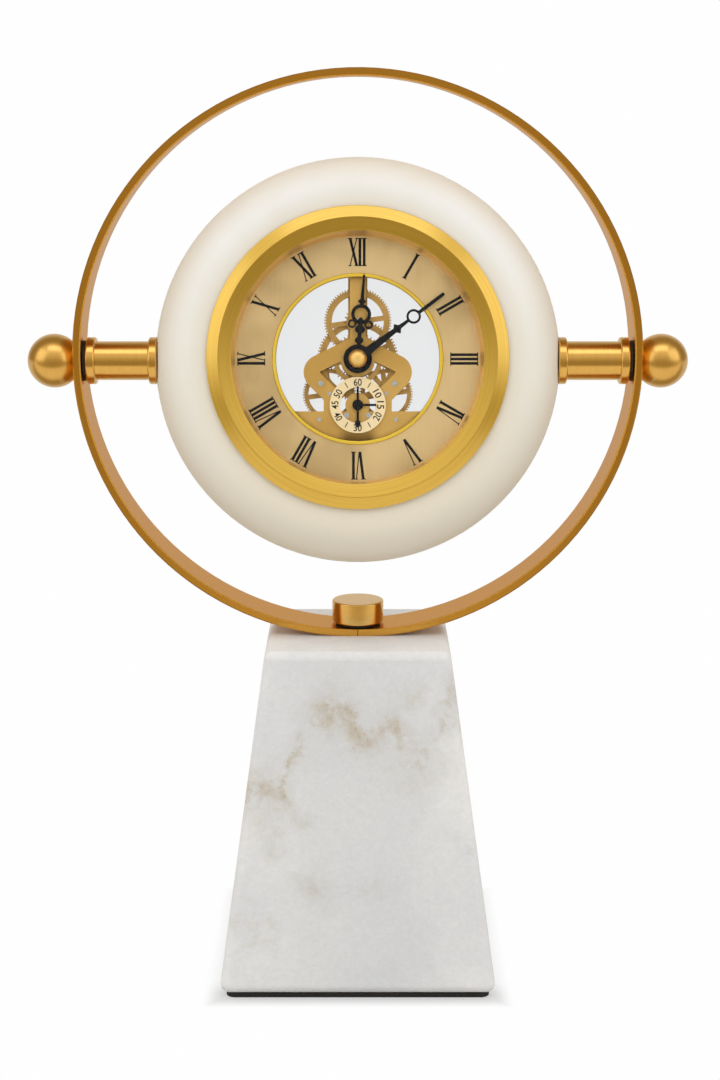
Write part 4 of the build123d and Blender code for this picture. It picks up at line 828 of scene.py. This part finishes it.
# %% Round a profile's corners
def soft_profile(corners, steps=6, margin=0.12 * MM):
    """Rounds each corner of a closed profile, given as radius, height and corner round."""
    points = []
    count = len(corners)
    for i in range(count):
        corner = Vector(corners[i][:2])
        round_size = corners[i][2]
        before = (Vector(corners[i - 1][:2]) - corner).normalized()
        after = (Vector(corners[(i + 1) % count][:2]) - corner).normalized()
        half = before.angle(after) / 2
        back = round_size * cos(half) / sin(half)
        centre = corner + (before + after).normalized() * (round_size / sin(half))
        first = corner + before * back - centre
        last = corner + after * back - centre
        points.append(corner + before * (back + margin))
        for step in range(steps + 1):
            points.append(centre + round_size * first.slerp(last, step / steps).normalized())
        points.append(corner + after * (back + margin))
    return points


def turned_ring(name, corners, path_radius, finish, node, segments=256):
    """Turns a ring on the face's axis in place of a part of the frame."""
    points = soft_profile(corners)
    loop = bpy.data.meshes.new(name + "_profile")
    flat = [(point.x - path_radius, -point.y, 0.0) for point in points]
    loop.from_pydata(flat, [(i, (i + 1) % len(flat)) for i in range(len(flat))], [])
    values = {"Path Radius": path_radius, "Segments": segments, "Finish": finish}
    ring = run_tree(name, TURNING, values, loop, FACE)
    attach(ring, "clock_head")
    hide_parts(node)
    print(name, len(ring.data.polygons), "faces")
    return ring


BEZEL_EDGE = half_width("bezel")
BEZEL_REAR = back_of("bezel")
BEZEL_RIM = 1.6 * MM
BEZEL_TALL = 4.2 * MM
RIDGE_REACH = 60.8 * MM
LIP_REACH = 55.0 * MM
LIP_TALL = 0.8 * MM
BEZEL_BORE = 58.2 * MM
GLASS_FRONT = front_of("front_glass")
turned_ring("turned_bezel", [
    (BEZEL_BORE, BEZEL_REAR, 0.1 * MM),
    (BEZEL_EDGE, BEZEL_REAR, 0.15 * MM),
    (BEZEL_EDGE, BEZEL_REAR + BEZEL_RIM, 0.35 * MM),
    (RIDGE_REACH, BEZEL_REAR + BEZEL_TALL, 0.50 * MM),
    (LIP_REACH, GLASS_FRONT + LIP_TALL, 0.25 * MM),
    (LIP_REACH, GLASS_FRONT, 0.1 * MM),
    (BEZEL_BORE, GLASS_FRONT, 0.1 * MM),
], RIDGE_REACH, BEZEL_GOLD, "bezel")

RIM_EDGE = half_width("dial_rim")
RIM_WIDE = 1.8 * MM
RIM_REAR = back_of("dial_rim")
RIM_FRONT = front_of("dial_rim")
turned_ring("opening_rim", [
    (RIM_EDGE - RIM_WIDE, RIM_REAR, 0.05 * MM),
    (RIM_EDGE, RIM_REAR, 0.05 * MM),
    (RIM_EDGE, RIM_FRONT, 0.60 * MM),
    (RIM_EDGE - RIM_WIDE, RIM_FRONT, 0.60 * MM),
], RIM_EDGE, RIM_BRASS, "dial_rim", 192)

# %% [markdown]
# ## Roman numerals
# The hour numerals are tall, narrow and serifed, and they stand with their feet towards the middle. Each
# letter is a few strokes: a thick and a thin one, closed by thin serifs. The strokes overlap, so a flat
# triangulation joins the outlines of one numeral into a single shape, and that shape is raised into a
# plate a hair above the dial, as thick as printed ink looks.

# %% Letters from strokes
NUMERAL_FOOT = 40.8 * MM
NUMERAL_TOP = 53.1 * MM
PRINT_THICK = 0.05 * MM
THICK_STROKE = 1.22 * MM
THIN_STROKE = 0.46 * MM
SERIF_HIGH = 0.42 * MM
SERIF_REACH = 0.46 * MM
LETTER_STEP = {"I": 1.90 * MM, "V": 3.80 * MM, "X": 3.80 * MM}
LETTER_LEAN = {"V": 1.55 * MM, "X": 1.50 * MM}
THIN_FOOT = 0.2
NUMERALS = ["XII", "I", "II", "III", "IV", "V", "VI", "VII", "VIII", "IX", "X", "XI"]


def stroke(foot, top, width):
    """A slanted bar between a foot and a top point, cut level at both ends."""
    half = width / 2
    low = [(foot[0] - half, foot[1]), (foot[0] + half, foot[1])]
    return low + [(top[0] + half, top[1]), (top[0] - half, top[1])]


def serif(x, y, width):
    """A flat serif centred on a stroke's end."""
    half = width / 2 + SERIF_REACH
    return [(x - half, y), (x + half, y), (x + half, y + SERIF_HIGH), (x - half, y + SERIF_HIGH)]


def letter_strokes(letter, x, low, high):
    """The strokes of one letter as flat outlines."""
    top = high - SERIF_HIGH
    if letter == "I":
        bars = [((x, low), (x, high), THICK_STROKE)]
        feet = [(x, low, THICK_STROKE), (x, top, THICK_STROKE)]
    elif letter == "V":
        lean = LETTER_LEAN["V"]
        bars = [((x, low), (x - lean, high), THICK_STROKE)]
        bars += [((x + THIN_FOOT * lean, low), (x + lean, high), THIN_STROKE)]
        feet = [(x - lean, top, THICK_STROKE), (x + lean, top, THIN_STROKE)]
    else:
        lean = LETTER_LEAN["X"]
        bars = [((x + lean, low), (x - lean, high), THICK_STROKE)]
        bars += [((x - lean, low), (x + lean, high), THIN_STROKE)]
        feet = [(x + lean, low, THICK_STROKE), (x - lean, low, THIN_STROKE)]
        feet += [(x - lean, top, THICK_STROKE), (x + lean, top, THIN_STROKE)]
    return [stroke(*bar) for bar in bars] + [serif(*foot) for foot in feet]


def numeral_strokes(word):
    """The outlines of a whole numeral, centred on its own middle line."""
    x = -sum(LETTER_STEP[letter] for letter in word) / 2
    outlines = []
    for letter in word:
        outlines += letter_strokes(letter, x + LETTER_STEP[letter] / 2, NUMERAL_FOOT, NUMERAL_TOP)
        x += LETTER_STEP[letter]
    return outlines


print("twelve numerals from", sum(len(numeral_strokes(word)) for word in NUMERALS), "strokes")


# %% Raise the numerals into plates
KEEP_INSIDE = 1
JOIN_SLACK = 1e-8


def add_plate(mesh, outlines, place, thick):
    """Joins flat outlines that overlap and raises them into one closed plate."""
    points = []
    loops = []
    for outline in outlines:
        loops.append(list(range(len(points), len(points) + len(outline))))
        points += [Vector(point) for point in outline]
    flat, _, faces, _, _, sources = delaunay_2d_cdt(points, [], loops, KEEP_INSIDE, JOIN_SLACK)
    low = [mesh.verts.new(place @ Vector((x, y, 0.0))) for x, y in flat]
    high = [mesh.verts.new(place @ Vector((x, y, thick))) for x, y in flat]
    sides = {}
    for face, outlines_here in zip(faces, sources):
        if not outlines_here:
            continue
        mesh.faces.new([high[i] for i in face])
        mesh.faces.new([low[i] for i in reversed(face)])
        for i, j in zip(face, face[1:] + face[:1]):
            sides[(i, j)] = True
    for i, j in sides:
        if (j, i) not in sides:
            mesh.faces.new((low[i], low[j], high[j], high[i]))
    for vertex in [vertex for vertex in low + high if not vertex.link_faces]:
        mesh.verts.remove(vertex)


def mesh_piece(name, mesh, finish, body):
    """A finished piece at the origin from a mesh under construction."""
    bmesh.ops.recalc_face_normals(mesh, faces=mesh.faces)
    data = bpy.data.meshes.new(name)
    mesh.to_mesh(data)
    mesh.free()
    data.materials.append(PLAIN_FINISHES[finish])
    piece = add_object(name, data)
    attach(piece, body)
    print(name, len(data.polygons), "faces")
    return piece


def on_face(x, y, height, turn):
    """The place of a flat print on the face, turned clockwise round its own middle."""
    return FACE @ Matrix.Translation((x, y, height)) @ Matrix.Rotation(-turn, 4, "Z")


numeral_mesh = bmesh.new()
for hour, word in enumerate(NUMERALS):
    numeral_place = on_face(0.0, 0.0, DIAL_FRONT, hour * pi / 6)
    add_plate(numeral_mesh, numeral_strokes(word), numeral_place, PRINT_THICK)
mesh_piece("hour_numerals", numeral_mesh, "black_paint", "clock_head")

# %% [markdown]
# ## The seconds dial
# The small dial counts sixty seconds with eight pairs of digits, and a short line stands where a pair is
# left out. The digits are Blender's own letters, made a mesh, squeezed to the narrow shape of clock
# digits and then put on their circle. Those in the lower part of the circle stand upright to be read. The
# lines repeat round the circle, so a node tree sets them out: it starts with twelve points and drops those
# that a pair of digits takes.

# %% Print the digits
SECONDS_FRONT = front_of("seconds_dial")
DIGIT_REACH = 10.05 * MM
DIGIT_TALL = 3.1 * MM
PAIR_WIDE = 3.5 * MM
DIGIT_BOLD = 0.010
MERGE_REACH = 1e-7
PAIRS = {0: "60", 60: "10", 90: "15", 120: "20", 180: "30", 240: "40", 270: "45", 300: "50"}
UPRIGHT_FROM = 100
UPRIGHT_TO = 260


def digit_mesh(word):
    """A pair of digits as a flat mesh of a set width and height, centred, and as thick as ink."""
    letters = bpy.data.curves.new("digits", "FONT")
    letters.body = word
    letters.extrude = 0.5
    letters.offset = DIGIT_BOLD
    letters.resolution_u = 4
    maker = add_object("digits", letters)
    data = bpy.data.meshes.new_from_object(maker.evaluated_get(bpy.context.evaluated_depsgraph_get()))
    bpy.data.objects.remove(maker)
    low = [min(vertex.co[axis] for vertex in data.vertices) for axis in range(3)]
    high = [max(vertex.co[axis] for vertex in data.vertices) for axis in range(3)]
    middle = Vector([(a + b) / 2 for a, b in zip(low, high)])
    sizes = (PAIR_WIDE, DIGIT_TALL, PRINT_THICK)
    scale = Matrix.Diagonal([size / (b - a) for size, a, b in zip(sizes, low, high)] + [1.0])
    data.transform(Matrix.Translation((0.0, 0.0, PRINT_THICK / 2)) @ scale @ Matrix.Translation(-middle))
    return data


digits = bmesh.new()
for degrees, word in PAIRS.items():
    angle = radians(degrees)
    turn = angle - pi if UPRIGHT_FROM < degrees < UPRIGHT_TO else angle
    pair = digit_mesh(word)
    x = SECONDS_PLACE.x + DIGIT_REACH * sin(angle)
    y = SECONDS_PLACE.y + DIGIT_REACH * cos(angle)
    pair.transform(on_face(x, y, SECONDS_FRONT, turn))
    digits.from_mesh(pair)
    bpy.data.meshes.remove(pair)
bmesh.ops.remove_doubles(digits, verts=digits.verts, dist=MERGE_REACH)
mesh_piece("seconds_digits", digits, "black_paint", "clock_head")


# %% Set out the lines between them
TICK_PLACES = 12
TICK_SIZE = (2.6 * MM, 0.38 * MM, PRINT_THICK)


def circle_of_blocks(tree, count, reach, size, chosen=True):
    """Sets a block on each chosen point of a circle, turned outwards."""
    points = add_node(tree, "GeometryNodeMeshCircle", {"Vertices": count, "Radius": reach}).outputs["Mesh"]
    place = add_node(tree, "GeometryNodeInputPosition").outputs[0]
    turn = add_node(tree, "FunctionNodeAlignRotationToVector", {"Vector": place}, axis="X").outputs[0]
    block = add_node(tree, "GeometryNodeMeshCube", {"Size": size}).outputs["Mesh"]
    sockets = {"Points": points, "Selection": chosen, "Instance": block, "Rotation": turn}
    return add_node(tree, "GeometryNodeInstanceOnPoints", sockets).outputs[0]


def tick_tree():
    """A tree that sets lines on a circle wherever no pair of digits stands."""
    inputs = [("Start", "NodeSocketGeometry"), ("Reach", "NodeSocketFloat")]
    inputs += [("Line Size", "NodeSocketVector"), ("Finish", "NodeSocketMaterial")]
    tree, given, made = start_tree("seconds_lines", inputs)
    index = add_node(tree, "GeometryNodeInputIndex").outputs[0]
    past_second = calculate(tree, "MODULO", index, 2.0)
    past_third = calculate(tree, "MODULO", index, 3.0)
    free = calculate(tree, "MULTIPLY", past_second, past_third)
    lines = circle_of_blocks(tree, TICK_PLACES, given["Reach"], given["Line Size"], free)
    end_tree(tree, lines, given["Finish"], made["Piece"])
    return tree


tick_values = {"Reach": DIGIT_REACH, "Line Size": TICK_SIZE, "Finish": PLAIN_FINISHES["black_paint"]}
tick_place = on_face(SECONDS_PLACE.x, SECONDS_PLACE.y, SECONDS_FRONT + PRINT_THICK / 2, -pi / 2)
ticks = run_tree("seconds_lines", tick_tree(), tick_values, bpy.data.meshes.new("ticks_start"), tick_place)
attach(ticks, "clock_head")
print("seconds lines", len(ticks.data.polygons), "faces")

# %% [markdown]
# ## Wheel teeth
# The wheels of the movement were stamped with full, square teeth, while the frame's wheels have slim ones
# that only do the meshing. A tooth is the same block again and again round a rim, so a node tree sets one
# block on each point of a circle, with as many points as the wheel has teeth. Each wheel is listed with
# its joint, its body and its count of teeth. The wheel's own mesh tells where its tips are, how thick its
# rim is and how far it is turned, so each block stands over a tooth.

# %% Square up the teeth
TIP_SLACK = 0.02 * MM
TOOTH_SHARE = 0.44
TOOTH_TALL = 2.1
TOOTH_PROUD = 0.04 * MM
WHEELS = [
    ("minute_wheel", "minute_wheel_turn", "minute_wheel", 72),
    ("third_wheel", "third_turn", "third_wheel", 60),
    ("drive_wheel", "drive_turn", "drive_wheel", 60),
    ("centre_wheel", "minute_turn", "minute_train", 80),
]


def tooth_tree():
    """A tree that sets one block on each point of a circle."""
    inputs = [("Start", "NodeSocketGeometry"), ("Teeth", "NodeSocketInt"), ("Reach", "NodeSocketFloat")]
    inputs += [("Tooth Size", "NodeSocketVector"), ("Finish", "NodeSocketMaterial")]
    tree, given, made = start_tree("wheel_teeth", inputs)
    blocks = circle_of_blocks(tree, given["Teeth"], given["Reach"], given["Tooth Size"])
    end_tree(tree, blocks, given["Finish"], made["Piece"])
    return tree


def measure_tips(node, middle, teeth):
    """A wheel's tip radius, the turn of its first tooth, and the back and front of its rim."""
    points = [FACE.inverted() @ vertex.co - middle for vertex in nodes[node].data.vertices]
    reach = max(hypot(point.x, point.y) for point in points)
    tips = [point for point in points if hypot(point.x, point.y) > reach - TIP_SLACK]
    angles = [teeth * atan2(point.y, point.x) for point in tips]
    turn = atan2(sum(sin(angle) for angle in angles), sum(cos(angle) for angle in angles)) / teeth
    return reach, turn, min(point.z for point in tips), max(point.z for point in tips)


TEETH = tooth_tree()
for node, joint, body, teeth in WHEELS:
    middle = FACE.inverted() @ Vector(joints[joint]["pos_m"])
    reach, turn, rear, front = measure_tips(node, middle, teeth)
    module = reach / (teeth / 2 + 1)
    tall = TOOTH_TALL * module
    size = (tall, TOOTH_SHARE * 2 * pi * reach / teeth, front - rear + TOOTH_PROUD)
    values = {"Teeth": teeth, "Reach": reach - tall / 2, "Tooth Size": size, "Finish": WHEEL_BRASS}
    place = on_face(middle.x, middle.y, middle.z + (front + rear) / 2, -turn)
    piece = run_tree(node + "_teeth", TEETH, values, bpy.data.meshes.new(node + "_start"), place)
    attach(piece, body)
    print(node, teeth, "teeth at", round(reach / MM, 2), "mm, rim", round((front - rear) / MM, 2), "mm")
